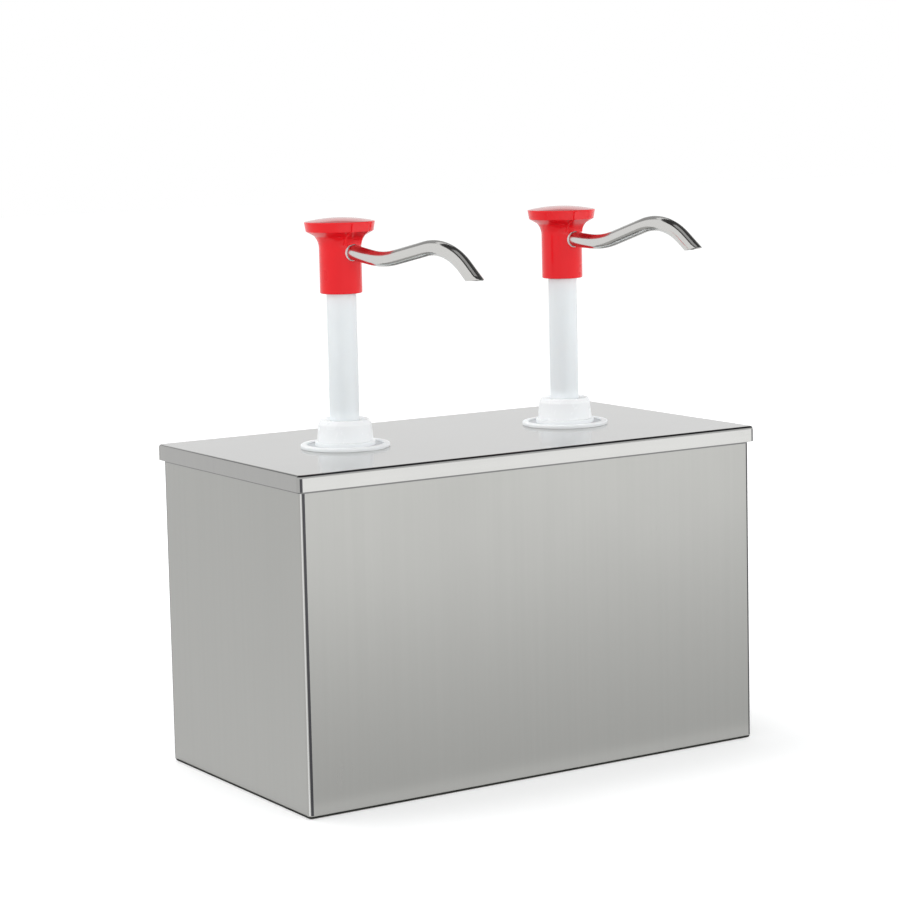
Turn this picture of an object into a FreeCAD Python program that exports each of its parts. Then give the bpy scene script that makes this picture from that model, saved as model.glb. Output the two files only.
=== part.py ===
import FreeCAD, Part
import math
import os

# Sizes are in millimetres and angles in degrees. +Z points up, the front of the station faces -Y,
# and the origin is the middle of the housing's underside. Heights of pump pieces count from the lid's top.

# Room round the two pans, from which the station takes its size
pan_gap = 10.0
pan_side_gap = 2.0
pan_finger_gap = 17.0
pan_headroom = 28.2

# Housing, folded from sheet
housing_sheet = 1.0
housing_corner_radius = 3.5
housing_base_bend = 3.0
hem_depth = 8.0
hem_round_share = 0.45

# Lid, folded from sheet
lid_sheet = 0.8
lid_overhang = 3.0
lid_skirt = 10.4
lid_corner_radius = 3.5
lid_top_bend = 2.2

# Pans of sixth gastronorm size
pan_rim_length = 176.0
pan_rim_depth = 162.0
pan_height = 200.0
pan_sheet = 0.8
pan_rim_width = 9.0
pan_rim_lip = 4.0
pan_rim_corner = 16.0
pan_mouth_corner = 26.0
pan_shoulder_drop = 24.0
pan_shoulder_step = 2.5
pan_shoulder_slope = 4.0
pan_taper = 6.0
pan_base_round = 3.0

# How each plunger is turned: the angle of its spout from +X
spout_turn_angles = {"left": -83.0, "right": -85.7}
# How far each spout dips where it leaves its head
spout_droop_angles = {"left": 8.0, "right": 3.0}

# Play between pieces
fit_gap = 0.1
seat_gap = 0.3
press_stop_gap = 1.2
suction_gap = 10.0

# Stem, from which the bore and the pieces round it take their radii
stem_radius = 10.4
stem_wall = 2.6
stem_exposed = 87.7

# Barrel with its base flange
bush_wall = 1.4
barrel_wall = 2.0
barrel_neck_wall = 4.5
thread_rise = 0.5
thread_length = 16.0
boss_ledge = 1.3
boss_height = 4.4
groove_width = 6.0
groove_depth = 1.3
flange_rim_width = 4.25
flange_height = 2.7
flange_edge_round = 1.1
barrel_floor = 3.0
valve_hole_radius = 3.6
valve_seat_depth = 2.4
spigot_radius = 6.0
spigot_length = 14.0

# Gasket and lock nut under the lid
lid_hole_play = 0.6
gasket_width = 9.0
gasket_height = 1.5
nut_wall = 6.0
nut_height = 8.0
nut_ribs = 8
nut_rib_width = 6.0
nut_rib_reach = 2.5
nut_rib_round = 1.5

# Collar, wiper seal and gland bush
collar_wall = 3.1
collar_side_taper = 1.1
collar_height = 15.3
collar_shoulder_slope = 1.4
collar_shoulder_height = 3.3
collar_top_round = 0.9
collar_rim_width = 2.2
collar_plate = 3.3
collar_dish_depth = 0.7
seal_height = 2.2
bush_flange = 1.6
bush_sleeve = 18.6

# Press head
head_neck_wall = 4.2
head_neck_length = 39.9
head_foot_round = 0.8
head_socket_depth = 18.0
head_passage_radius = 5.6
flare_reach = 3.3
flare_height = 8.6
cap_reach = 6.6
cap_side_taper = 1.1
cap_side = 6.6
cap_cone_rise = 3.1
cap_edge_round = 0.6
dome_rise = 2.8
web_width = 14.4
web_inset = 0.3
web_foot_reach = 0.8
web_edge_round = 0.5

# Spout
spout_radius = 5.3
spout_wall = 0.8
spout_below_cap = 11.5
spout_straight_end = 0.4
entry_bend_radius = 25.0
run_in_length = 16.0
dip_bend_radius = 80.0
dip_angle = 20.0
rise_length = 32.5
crest_bend_radius = 48.0
crest_angle = 53.0
tip_length = 12.4
# Slope of the mouth, rising outwards, on a spout that leaves its head level
mouth_slope = 13.5
spout_seal_width = 0.5
spout_seal_depth = 1.8
spout_seal_proud = 0.3

# Piston and its ring
piston_play = 0.4
piston_length = 15.0
piston_seat_level = 5.3
piston_spigot = 10.0
ring_wire_radius = 0.9
ring_level = 9.0

# Check valves
ball_radius = 5.0
ball_play = 1.0
ball_seat_gap = 0.1
ball_lift = 3.0
cage_wall = 1.4
cage_window_width = 4.0
cage_window_margin = 1.5
cage_vent_radius = 2.5
cage_windows = 4
outlet_cage_height = 3.0
outlet_cage_rim = 1.2
outlet_cage_bar = 2.4

# Spring and its washer
spring_wire = 1.4
spring_play = 1.9
spring_turns = 9
spring_end_gap = 0.5
spring_pressed = 22.0
washer_height = 1.5
washer_play = 0.3

# Suction tube
suction_wall = 2.0
suction_top_gap = 2.0
suction_slant = 30.0

# How far cutting tools run past the material
overrun = 5.0

# The station's size and the places of its pumps, over the middles of the pans
hem_width = 2 * housing_sheet
station_length = 2 * (pan_rim_length + pan_side_gap + hem_width) + pan_gap
station_depth = pan_rim_depth + 2 * (pan_finger_gap + hem_width)
station_height = housing_sheet + pan_height + pan_headroom + lid_sheet
pump_spacing = pan_rim_length + pan_gap

# Heights above the lid's top that follow from the sizes above
collar_top = boss_height + collar_height
collar_ceiling = collar_top - collar_plate
seal_foot = collar_ceiling - seal_height
neck_top = seal_foot - bush_flange
bush_foot = neck_top - bush_sleeve
piston_top = bush_foot - seat_gap
piston_foot = piston_top - piston_length
press_stroke = stem_exposed - press_stop_gap
washer_top = piston_foot - press_stroke - spring_pressed
floor_top = washer_top - washer_height
barrel_foot = floor_top - barrel_floor
spigot_foot = barrel_foot - spigot_length
suction_foot = housing_sheet + pan_sheet + suction_gap - station_height
head_foot = collar_top + stem_exposed
cap_foot = head_foot + head_neck_length
cap_side_foot = cap_foot + cap_cone_rise
cap_rim = cap_side_foot + cap_side
spout_level = cap_foot - spout_below_cap
stem_top = head_foot + head_socket_depth - seat_gap

# Radii that follow from the sizes above
stem_bore_radius = stem_radius - stem_wall
bore_radius = stem_radius + bush_wall + 2 * fit_gap
barrel_radius = bore_radius + barrel_wall
barrel_neck_radius = bore_radius + barrel_neck_wall
thread_radius = barrel_neck_radius + thread_rise
collar_radius = barrel_neck_radius + fit_gap + collar_wall
collar_shoulder_radius = collar_radius - collar_side_taper
collar_top_radius = collar_shoulder_radius - collar_shoulder_slope
collar_dish_radius = collar_top_radius - collar_rim_width
boss_radius = collar_radius + boss_ledge
groove_radius = boss_radius + groove_width
flange_radius = groove_radius + flange_rim_width
gasket_radius = thread_radius + gasket_width
nut_radius = thread_radius + nut_wall
piston_radius = bore_radius - piston_play
spring_radius = bore_radius - spring_play - spring_wire / 2
head_neck_radius = stem_radius + fit_gap + head_neck_wall
flare_radius = head_neck_radius + flare_reach
cap_radius = flare_radius + cap_reach
chamber_radius = ball_radius + ball_play
seat_edge_rise = math.sqrt(ball_radius ** 2 - valve_hole_radius ** 2)
lid_hole_radius = thread_radius + lid_hole_play

ORIGIN = FreeCAD.Vector(0, 0, 0)
UP = FreeCAD.Vector(0, 0, 1)
sides = {"left": -1, "right": 1}


def rounded_outline(length, depth, corner, centre):
    """Rectangle with round corners in a level plane, centred on a point."""
    arcs = []
    for turn in range(4):
        x_sign = 1 if turn in (0, 3) else -1
        y_sign = 1 if turn in (0, 1) else -1
        pivot = centre + FreeCAD.Vector(x_sign * (length / 2 - corner), y_sign * (depth / 2 - corner), 0)
        points = []
        for angle in (0, 45, 90):
            way = math.radians(90 * turn + angle)
            points.append(pivot + FreeCAD.Vector(math.cos(way), math.sin(way), 0) * corner)
        arcs.append(points)
    edges = []
    for index, points in enumerate(arcs):
        following = arcs[(index + 1) % 4]
        edges.append(Part.Arc(*points).toShape())
        edges.append(Part.LineSegment(points[2], following[0]).toShape())
    return Part.Wire(edges)


def rounded_slab(length, depth, corner, centre, height):
    """Upright block with round corners, standing on the level of its centre point."""
    return Part.Face(rounded_outline(length, depth, corner, centre)).extrude(UP * height)


def level_edges(shape, level):
    """Edges that lie wholly at one height."""
    near = fit_gap / 100
    return [edge for edge in shape.Edges
            if abs(edge.BoundBox.ZMin - level) < near and abs(edge.BoundBox.ZMax - level) < near]


def ring_edges(shape, radius, level):
    """Level circles of one radius about the upright axis at one height."""
    near = fit_gap / 100
    return [edge for edge in level_edges(shape, level)
            if hasattr(edge.Curve, "Radius") and abs(edge.Curve.Radius - radius) < near]


def arc_middle(start, end, heading):
    """Middle of the arc that leaves start along a heading in degrees and reaches end, in a plane."""
    across = end[0] - start[0]
    rise = end[1] - start[1]
    along = math.atan2(rise, across)
    sag = math.hypot(across, rise) / 2 * math.tan((math.radians(heading) - along) / 2)
    return (start[0] + across / 2 - sag * math.sin(along), start[1] + rise / 2 + sag * math.cos(along))


def upright(point):
    """Place a (distance from the axis, height) pair in the XZ plane."""
    return FreeCAD.Vector(point[0], 0, point[1])


def upright_outline(start, *steps):
    """Closed outline in the XZ plane. A step is the next corner, or an arc's middle and end."""
    edges = []
    last = start
    for step in steps + (start,):
        if isinstance(step[0], tuple):
            end = step[1]
            edges.append(Part.Arc(upright(last), upright(step[0]), upright(end)).toShape())
        else:
            end = step
            edges.append(Part.LineSegment(upright(last), upright(end)).toShape())
        last = end
    return Part.Face(Part.Wire(edges))


def turned(start, *steps):
    """Solid turned about the upright axis from a closed outline."""
    return upright_outline(start, *steps).revolve(ORIGIN, UP, 360)


def tube(outer, inner, foot, top):
    """Plain upright tube."""
    return turned((inner, foot), (outer, foot), (outer, top), (inner, top))


def rod(radius, foot, top):
    """Plain upright cylinder."""
    return Part.makeCylinder(radius, top - foot, upright((0, foot)))


def level_rod(radius, start, end, level):
    """Plain cylinder along +X between two distances from the axis."""
    return Part.makeCylinder(radius, end - start, upright((start, level)), FreeCAD.Vector(1, 0, 0))


def around(piece, count):
    """Copies of a piece, evenly spaced about the upright axis."""
    copies = []
    for index in range(count):
        copy = piece.copy()
        copy.rotate(ORIGIN, UP, 360 / count * index)
        copies.append(copy)
    return copies


def make_housing():
    """Open box with a bent base, round upright corners and a hem folded in along the top."""
    height = station_height - lid_sheet
    shell = rounded_slab(station_length, station_depth, housing_corner_radius, ORIGIN, height)
    shell = shell.makeFillet(housing_base_bend, level_edges(shell, 0))
    inner_length = station_length - 2 * housing_sheet
    inner_depth = station_depth - 2 * housing_sheet
    inner_corner = housing_corner_radius - housing_sheet
    inner_floor = UP * housing_sheet
    hem_foot = height - hem_depth
    inside = rounded_slab(inner_length, inner_depth, inner_corner, inner_floor, hem_foot - housing_sheet)
    inside = inside.makeFillet(housing_base_bend - housing_sheet, level_edges(inside, housing_sheet))
    mouth = rounded_slab(station_length - 2 * hem_width, station_depth - 2 * hem_width,
                         inner_corner - housing_sheet, UP * (hem_foot - overrun),
                         hem_depth + 2 * overrun)
    shell = shell.cut(inside).cut(mouth)
    return shell.makeFillet(housing_sheet * hem_round_share, level_edges(shell, height))


def make_lid():
    """Cover with a skirt all round and a round hole for each pump."""
    length = station_length + 2 * lid_overhang
    depth = station_depth + 2 * lid_overhang
    height = lid_sheet + lid_skirt
    foot = UP * (station_height - height)
    cover = rounded_slab(length, depth, lid_corner_radius, foot, height)
    cover = cover.makeFillet(lid_top_bend, level_edges(cover, station_height))
    inner_corner = lid_corner_radius - lid_sheet
    inside = rounded_slab(length - 2 * lid_sheet, depth - 2 * lid_sheet, inner_corner, foot, lid_skirt)
    inside = inside.makeFillet(lid_top_bend - lid_sheet, level_edges(inside, station_height - lid_sheet))
    cover = cover.cut(inside)
    for sign in sides.values():
        hole = rod(lid_hole_radius, station_height - overrun, station_height + overrun)
        hole.translate(FreeCAD.Vector(sign * pump_spacing / 2, 0, 0))
        cover = cover.cut(hole)
    return cover


def pan_body(offset, foot):
    """Outer or inner form of a pan: a tapered body, a sloped shoulder and an upright mouth."""
    top = housing_sheet + pan_height
    mouth_length = pan_rim_length - 2 * pan_rim_width - 2 * offset
    mouth_depth = pan_rim_depth - 2 * pan_rim_width - 2 * offset
    corner = pan_mouth_corner - offset
    shoulder = top - pan_shoulder_drop
    slope_foot = shoulder - pan_shoulder_slope
    step = pan_shoulder_step
    taper = pan_shoulder_step + pan_taper
    mouth = rounded_slab(mouth_length, mouth_depth, corner, UP * shoulder, top - shoulder)
    neck_outline = rounded_outline(mouth_length - 2 * step, mouth_depth - 2 * step,
                                   corner - step, UP * slope_foot)
    mouth_outline = rounded_outline(mouth_length, mouth_depth, corner, UP * shoulder)
    base_outline = rounded_outline(mouth_length - 2 * taper, mouth_depth - 2 * taper,
                                   corner - step, UP * foot)
    slope = Part.makeLoft([neck_outline, mouth_outline], True, True)
    body = Part.makeLoft([base_outline, neck_outline], True, True)
    body = body.makeFillet(pan_base_round - offset, level_edges(body, foot))
    return body.fuse(slope).fuse(mouth).removeSplitter()


def make_pan(x):
    """Deep pan with a flat rim that turns down at its edge."""
    top = housing_sheet + pan_height
    rim_foot = UP * (top - pan_rim_lip)
    rim = rounded_slab(pan_rim_length, pan_rim_depth, pan_rim_corner, rim_foot, pan_rim_lip)
    under_rim = rounded_slab(pan_rim_length - 2 * pan_sheet, pan_rim_depth - 2 * pan_sheet,
                             pan_rim_corner - pan_sheet, rim_foot, pan_rim_lip - pan_sheet)
    rim = rim.cut(under_rim)
    pan = rim.fuse(pan_body(0, housing_sheet))
    pan = pan.cut(pan_body(pan_sheet, housing_sheet + pan_sheet))
    pan.translate(FreeCAD.Vector(x, 0, 0))
    return pan


def make_barrel():
    """Base flange with a ring groove, threaded neck, cylinder, valve seat and hose spigot in one."""
    seat_foot = floor_top - valve_seat_depth
    barrel = turned((flange_radius, 0), (flange_radius, flange_height), (groove_radius, flange_height),
                    (groove_radius, flange_height - groove_depth), (boss_radius, flange_height - groove_depth),
                    (boss_radius, boss_height), (barrel_neck_radius, boss_height),
                    (barrel_neck_radius, neck_top), (bore_radius, neck_top), (bore_radius, floor_top),
                    (chamber_radius, floor_top), (valve_hole_radius, seat_foot),
                    (valve_hole_radius, spigot_foot), (spigot_radius, spigot_foot),
                    (spigot_radius, barrel_foot), (barrel_radius, barrel_foot),
                    (barrel_radius, -thread_length), (thread_radius, -thread_length), (thread_radius, 0))
    return barrel.makeFillet(flange_edge_round, ring_edges(barrel, flange_radius, flange_height))


def make_gasket():
    """Flat ring between the lid's underside and the lock nut."""
    return tube(gasket_radius, thread_radius + fit_gap, -lid_sheet - gasket_height, -lid_sheet)


def make_lock_nut():
    """Round nut with grip ribs that clamps the barrel to the lid from below."""
    top = -lid_sheet - gasket_height
    foot = top - nut_height
    nut = rod(nut_radius, foot, top)
    rib = Part.makeBox(nut_radius + nut_rib_reach, nut_rib_width, nut_height,
                       FreeCAD.Vector(0, -nut_rib_width / 2, foot))
    outer_edges = [edge for edge in rib.Edges
                   if edge.BoundBox.XMin > nut_radius and edge.BoundBox.ZLength > nut_height / 2]
    rib = rib.makeFillet(nut_rib_round, outer_edges)
    for copy in around(rib, nut_ribs):
        nut = nut.fuse(copy)
    return nut.removeSplitter().cut(rod(thread_radius + fit_gap, foot - overrun, top + overrun))


def make_collar():
    """Gland cap: tapered side, steeper shoulder band, dished top and a hole for the stem."""
    stem_hole = stem_radius + seat_gap
    inner = barrel_neck_radius + fit_gap
    collar = turned((inner, boss_height), (collar_radius, boss_height),
                    (collar_shoulder_radius, collar_top - collar_shoulder_height),
                    (collar_top_radius, collar_top), (collar_dish_radius, collar_top),
                    (stem_hole, collar_top - collar_dish_depth), (stem_hole, collar_ceiling),
                    (inner, collar_ceiling))
    return collar.makeFillet(collar_top_round, ring_edges(collar, collar_top_radius, collar_top))


def make_stem_seal():
    """Wiper ring round the stem under the collar's top."""
    return tube(barrel_neck_radius, stem_radius + fit_gap, seal_foot, collar_ceiling)


def make_gland_bush():
    """Flanged bush that guides the stem and stops the piston at the top of its stroke."""
    bore = stem_radius + fit_gap
    return turned((bore, bush_foot), (bore_radius - fit_gap, bush_foot), (bore_radius - fit_gap, neck_top),
                  (barrel_neck_radius, neck_top), (barrel_neck_radius, seal_foot), (bore, seal_foot))


def make_inlet_cage():
    """Cage with side windows that keeps the inlet ball over its seat."""
    outer = chamber_radius + cage_wall
    lid_foot = inlet_ball_level() + ball_radius + ball_lift + seat_gap
    top = lid_foot + cage_wall
    cage = turned((chamber_radius, floor_top), (outer, floor_top), (outer, top),
                  (cage_vent_radius, top), (cage_vent_radius, lid_foot), (chamber_radius, lid_foot))
    window_foot = floor_top + cage_window_margin
    window = Part.makeBox(outer + overrun, cage_window_width, lid_foot - cage_window_margin - window_foot,
                          FreeCAD.Vector(0, -cage_window_width / 2, window_foot))
    for copy in around(window, cage_windows):
        cage = cage.cut(copy)
    return cage


def inlet_ball_level():
    """Height of the inlet ball's middle on its seat."""
    return floor_top - valve_seat_depth + seat_edge_rise + ball_seat_gap


def outlet_ball_level():
    """Height of the outlet ball's middle on its seat."""
    return piston_foot + piston_seat_level + seat_edge_rise + ball_seat_gap


def make_ball(level):
    """Check-valve ball."""
    return Part.makeSphere(ball_radius, upright((0, level)))


def make_suction_tube():
    """Tube from the barrel's spigot to just above the pan's floor, cut aslant at its foot."""
    inner = spigot_radius + fit_gap
    outer = inner + suction_wall
    pipe = tube(outer, inner, suction_foot, barrel_foot - suction_top_gap)
    rise = 2 * outer * math.tan(math.radians(suction_slant))
    wedge = upright_outline((-outer - overrun, suction_foot - overrun), (outer, suction_foot - overrun),
                            (outer, suction_foot), (-outer, suction_foot + rise),
                            (-outer - overrun, suction_foot + rise)).extrude(FreeCAD.Vector(0, 4 * outer, 0))
    wedge.translate(FreeCAD.Vector(0, -2 * outer, 0))
    return pipe.cut(wedge)


def make_washer():
    """Slip washer under the spring, on the barrel's floor."""
    return tube(bore_radius - washer_play, chamber_radius + cage_wall + washer_play, floor_top, washer_top)


def spring_level(turns, pitch):
    """Height of the wire's middle after a number of turns: close end turns and open turns between."""
    end_pitch = spring_wire + spring_end_gap
    start = washer_top + spring_wire / 2
    opened = min(max(turns - 1, 0), spring_turns)
    closed = turns - opened
    return start + closed * end_pitch + opened * pitch


def spring_state(turns, pitch):
    """Point and unit heading of the wire's middle line after a number of turns."""
    open_turn = 1 <= turns < spring_turns + 1
    climb = (pitch if open_turn else spring_wire + spring_end_gap) / (2 * math.pi)
    angle = 2 * math.pi * turns
    point = FreeCAD.Vector(spring_radius * math.cos(angle), spring_radius * math.sin(angle),
                           spring_level(turns, pitch))
    heading = FreeCAD.Vector(-spring_radius * math.sin(angle), spring_radius * math.cos(angle), climb)
    return point, heading.normalize()


def tangent_arc(start, corner, end):
    """Arc that touches the lines from start to corner and from corner to end."""
    middle = (start + end) * 0.5
    cosine = (start - middle).Length / (start - corner).Length
    crown = middle + (corner - middle) * (cosine / (1 + cosine))
    return Part.Arc(start, crown, end)


def half_turn(start, heading, end, end_heading):
    """Two tangent arcs between two points with their headings."""
    span = end - start
    both = heading + end_heading
    spread = 2 * (1 - heading.dot(end_heading))
    reach = (math.sqrt(span.dot(both) ** 2 + spread * span.dot(span)) - span.dot(both)) / spread
    first_corner = start + heading * reach
    last_corner = end - end_heading * reach
    joint = (first_corner + last_corner) * 0.5
    return [tangent_arc(start, first_corner, joint), tangent_arc(joint, last_corner, end)]


def make_spring():
    """Compression spring with close end turns, one unbroken wire."""
    all_turns = spring_turns + 2
    room = piston_foot - seat_gap - washer_top - spring_wire
    pitch = (room - 2 * (spring_wire + spring_end_gap)) / spring_turns
    arcs = []
    state = spring_state(0, pitch)
    for step in range(2 * all_turns):
        following = spring_state((step + 1) / 2, pitch)
        arcs += half_turn(*state, *following)
        state = following
    path = Part.Wire([arc.toShape() for arc in arcs])
    start, heading = spring_state(0, pitch)
    section = Part.Wire(Part.makeCircle(spring_wire / 2, start, heading))
    spring = path.makePipeShell([section], True, False)
    print("spring: least gap to itself", round(least_gap(path), 2), "pitch", round(pitch, 2))
    return spring


def least_gap(path):
    """Least gap between the wire's neighbouring turns, measured on points of its middle line."""
    points = path.discretize(Number=24 * (spring_turns + 2))
    per_half_turn = 12
    gaps = []
    for index, point in enumerate(points):
        for other in points[index + per_half_turn:index + 4 * per_half_turn]:
            gaps.append(point.distanceToPoint(other) - spring_wire)
    return min(gaps)


def make_piston():
    """Piston with a ring groove, a valve seat and a spigot that the stem is pressed on."""
    seat_foot = piston_foot + piston_seat_level
    spigot_outer = stem_bore_radius - fit_gap
    spigot_top = piston_top + piston_spigot
    piston = turned((valve_hole_radius, piston_foot), (piston_radius, piston_foot), (piston_radius, piston_top),
                    (spigot_outer, piston_top), (spigot_outer, spigot_top), (chamber_radius, spigot_top),
                    (chamber_radius, seat_foot + valve_seat_depth), (valve_hole_radius, seat_foot))
    groove = Part.makeTorus(ring_middle_radius(), ring_wire_radius, upright((0, piston_foot + ring_level)))
    lip = tube(piston_radius + overrun, ring_middle_radius(), piston_foot + ring_level - ring_wire_radius,
               piston_foot + ring_level + ring_wire_radius)
    return piston.cut(groove).cut(lip)


def ring_middle_radius():
    """Middle radius of the piston ring, which runs in the bore."""
    return bore_radius - fit_gap - ring_wire_radius


def make_piston_ring():
    """Round-section seal ring in the piston's groove."""
    return Part.makeTorus(ring_middle_radius(), ring_wire_radius, upright((0, piston_foot + ring_level)))


def make_outlet_cage():
    """Ring with a cross that keeps the outlet ball over its seat."""
    outer = chamber_radius - fit_gap
    foot = outlet_ball_level() + ball_radius + ball_lift + seat_gap
    top = foot + outlet_cage_height
    cage = tube(outer, outer - outlet_cage_rim, foot, top)
    bar_length = 2 * outer - outlet_cage_rim
    bar = Part.makeBox(bar_length, outlet_cage_bar, outlet_cage_height,
                       FreeCAD.Vector(-bar_length / 2, -outlet_cage_bar / 2, foot))
    crossing = bar.copy()
    crossing.rotate(ORIGIN, UP, 90)
    return cage.fuse(bar).fuse(crossing).removeSplitter()


def make_stem():
    """Hollow stem from the piston to the socket in the head."""
    return tube(stem_radius, stem_bore_radius, piston_top, stem_top)


def head_form():
    """Turned form of the head: neck, flare, coned underside, tapered side and domed top."""
    flare_foot = (head_neck_radius, cap_foot - flare_height)
    flare_top = (flare_radius, cap_foot)
    side_foot = (cap_radius - cap_side_taper, cap_side_foot)
    rim = (cap_radius, cap_rim)
    crown = (0, cap_rim + dome_rise)
    dome_middle = arc_middle(crown, rim, 0)
    form = turned((0, head_foot), (head_neck_radius, head_foot), flare_foot,
                  (arc_middle(flare_foot, flare_top, 90), flare_top), side_foot, rim,
                  (dome_middle, crown))
    form = form.makeFillet(head_foot_round, ring_edges(form, head_neck_radius, head_foot))
    return form.makeFillet(cap_edge_round, ring_edges(form, cap_radius, cap_rim))


def head_web():
    """Web over the spout, flat in front, from the cap's rim down to the spout."""
    inner = head_passage_radius + fit_gap
    web_top = cap_rim - cap_edge_round - web_inset
    side_foot = (cap_radius - cap_side_taper, cap_side_foot)
    shelf = (flare_radius + web_foot_reach, cap_foot)
    foot = (head_neck_radius + web_foot_reach, spout_level + spout_radius)
    web = upright_outline((inner, web_top), (cap_radius - web_inset, web_top), side_foot, shelf,
                          (arc_middle(foot, shelf, 90), foot), (inner, foot[1]))
    web = web.extrude(FreeCAD.Vector(0, web_width, 0))
    front_edges = [edge for edge in web.Edges
                   if edge.BoundBox.YLength < fit_gap and edge.BoundBox.ZLength > fit_gap
                   and edge.BoundBox.XMin > head_neck_radius]
    web = web.makeFillet(web_edge_round, front_edges)
    web.translate(FreeCAD.Vector(0, -web_width / 2, 0))
    return web


def make_head():
    """Press head with the stem's socket, the syrup passage and the spout's hole."""
    head = head_form().fuse(head_web()).removeSplitter()
    socket_top = head_foot + head_socket_depth
    head = head.cut(rod(stem_radius + fit_gap, head_foot - overrun, socket_top))
    head = head.cut(rod(head_passage_radius, socket_top - overrun, spout_level + spout_radius))
    outside = head_neck_radius + overrun
    head = head.cut(level_rod(spout_radius + fit_gap, 0, outside, spout_level))
    seal_seat = head_neck_radius - spout_seal_depth
    return head.cut(level_rod(seal_ring_radius() + fit_gap, seal_seat, outside, spout_level))


def seal_ring_radius():
    """Outer radius of the ring round the spout."""
    return spout_radius + fit_gap + spout_seal_width


def make_spout_seal():
    """Soft ring where the spout enters the head."""
    start = head_neck_radius - spout_seal_depth
    end = head_neck_radius + spout_seal_proud
    ring = level_rod(seal_ring_radius(), start, end, spout_level)
    return ring.cut(level_rod(spout_radius + fit_gap, start - overrun, end + overrun, spout_level))


def spout_path(droop):
    """Middle line of a spout in the XZ plane: dips, rises over a crest and falls to the tip."""
    edges = []
    place = (head_passage_radius, spout_level)
    heading = 0.0

    def run(length):
        nonlocal place
        end = (place[0] + length * math.cos(heading), place[1] + length * math.sin(heading))
        edges.append(Part.LineSegment(upright(place), upright(end)).toShape())
        place = end

    def bend(radius, turn):
        nonlocal place, heading
        chord = 2 * radius * math.sin(abs(turn) / 2)
        way = heading + turn / 2
        end = (place[0] + chord * math.cos(way), place[1] + chord * math.sin(way))
        middle = arc_middle(place, end, math.degrees(heading))
        edges.append(Part.Arc(upright(place), upright(middle), upright(end)).toShape())
        place = end
        heading += turn

    run(head_neck_radius + spout_seal_proud + spout_straight_end - head_passage_radius)
    bend(entry_bend_radius, -math.radians(droop))
    run(run_in_length)
    bend(dip_bend_radius, math.radians(dip_angle))
    run(rise_length)
    bend(crest_bend_radius, -math.radians(crest_angle))
    run(tip_length)
    tip = place
    run(2 * spout_radius)
    return Part.Wire(edges), tip


def make_spout(droop):
    """Bent tube whose mouth is cut across its fall."""
    path, tip = spout_path(droop)
    solids = []
    for radius in (spout_radius, spout_radius - spout_wall):
        section = Part.Wire(Part.makeCircle(radius, path.Vertexes[0].Point, FreeCAD.Vector(1, 0, 0)))
        solids.append(path.makePipeShell([section], True, False))
    spout = solids[0].cut(solids[1])
    width = 6 * spout_radius
    below = Part.makeBox(width, width, width, FreeCAD.Vector(tip[0] - width / 2, -width / 2, tip[1] - width))
    below.rotate(upright(tip), FreeCAD.Vector(0, -1, 0), mouth_slope - droop)
    return spout.cut(below)


def place_pump_piece(piece, side, turns_with_spout):
    """Move a pump piece from its own axis to its place on the lid."""
    if turns_with_spout:
        piece.rotate(ORIGIN, UP, spout_turn_angles[side])
    piece.translate(FreeCAD.Vector(sides[side] * pump_spacing / 2, 0, station_height))
    return piece


def pump_pieces(side):
    """Name to solid for one pump; the second value says whether the piece turns with the spout."""
    return {
        "barrel": (make_barrel(), False),
        "gasket": (make_gasket(), False),
        "lock_nut": (make_lock_nut(), False),
        "collar": (make_collar(), False),
        "stem_seal": (make_stem_seal(), False),
        "gland_bush": (make_gland_bush(), False),
        "inlet_cage": (make_inlet_cage(), False),
        "inlet_ball": (make_ball(inlet_ball_level()), False),
        "suction_tube": (make_suction_tube(), False),
        "spring_washer": (make_washer(), False),
        "spring": (make_spring(), False),
        "piston": (make_piston(), True),
        "piston_ring": (make_piston_ring(), True),
        "outlet_ball": (make_ball(outlet_ball_level()), True),
        "outlet_cage": (make_outlet_cage(), True),
        "stem": (make_stem(), True),
        "head": (make_head(), True),
        "spout": (make_spout(spout_droop_angles[side]), True),
        "spout_seal": (make_spout_seal(), True),
    }


def main():
    os.makedirs("parts", exist_ok=True)
    parts = {"housing": make_housing(), "lid": make_lid()}
    for side, sign in sides.items():
        parts[side + "_pan"] = make_pan(sign * pump_spacing / 2)
        for name, (piece, turns_with_spout) in pump_pieces(side).items():
            parts[side + "_" + name] = place_pump_piece(piece, side, turns_with_spout)
    for name, shape in parts.items():
        shape.exportStep("parts/" + name + ".step")
        box = shape.BoundBox
        print(name, "solids", len(shape.Solids), "valid", shape.isValid(), "volume", round(shape.Volume, 1),
              "z", round(box.ZMin, 2), round(box.ZMax, 2))
    print("press stroke", round(press_stroke, 2), "ball lift", ball_lift)
    print("washer top above base", round(station_height + washer_top, 3))


main()
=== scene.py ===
"""Looks of a two-pump syrup station: steel cabinet, lift-off lid, two pans and two push pumps."""

import math

import bmesh
import bpy
from mathutils import Matrix, Vector


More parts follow.
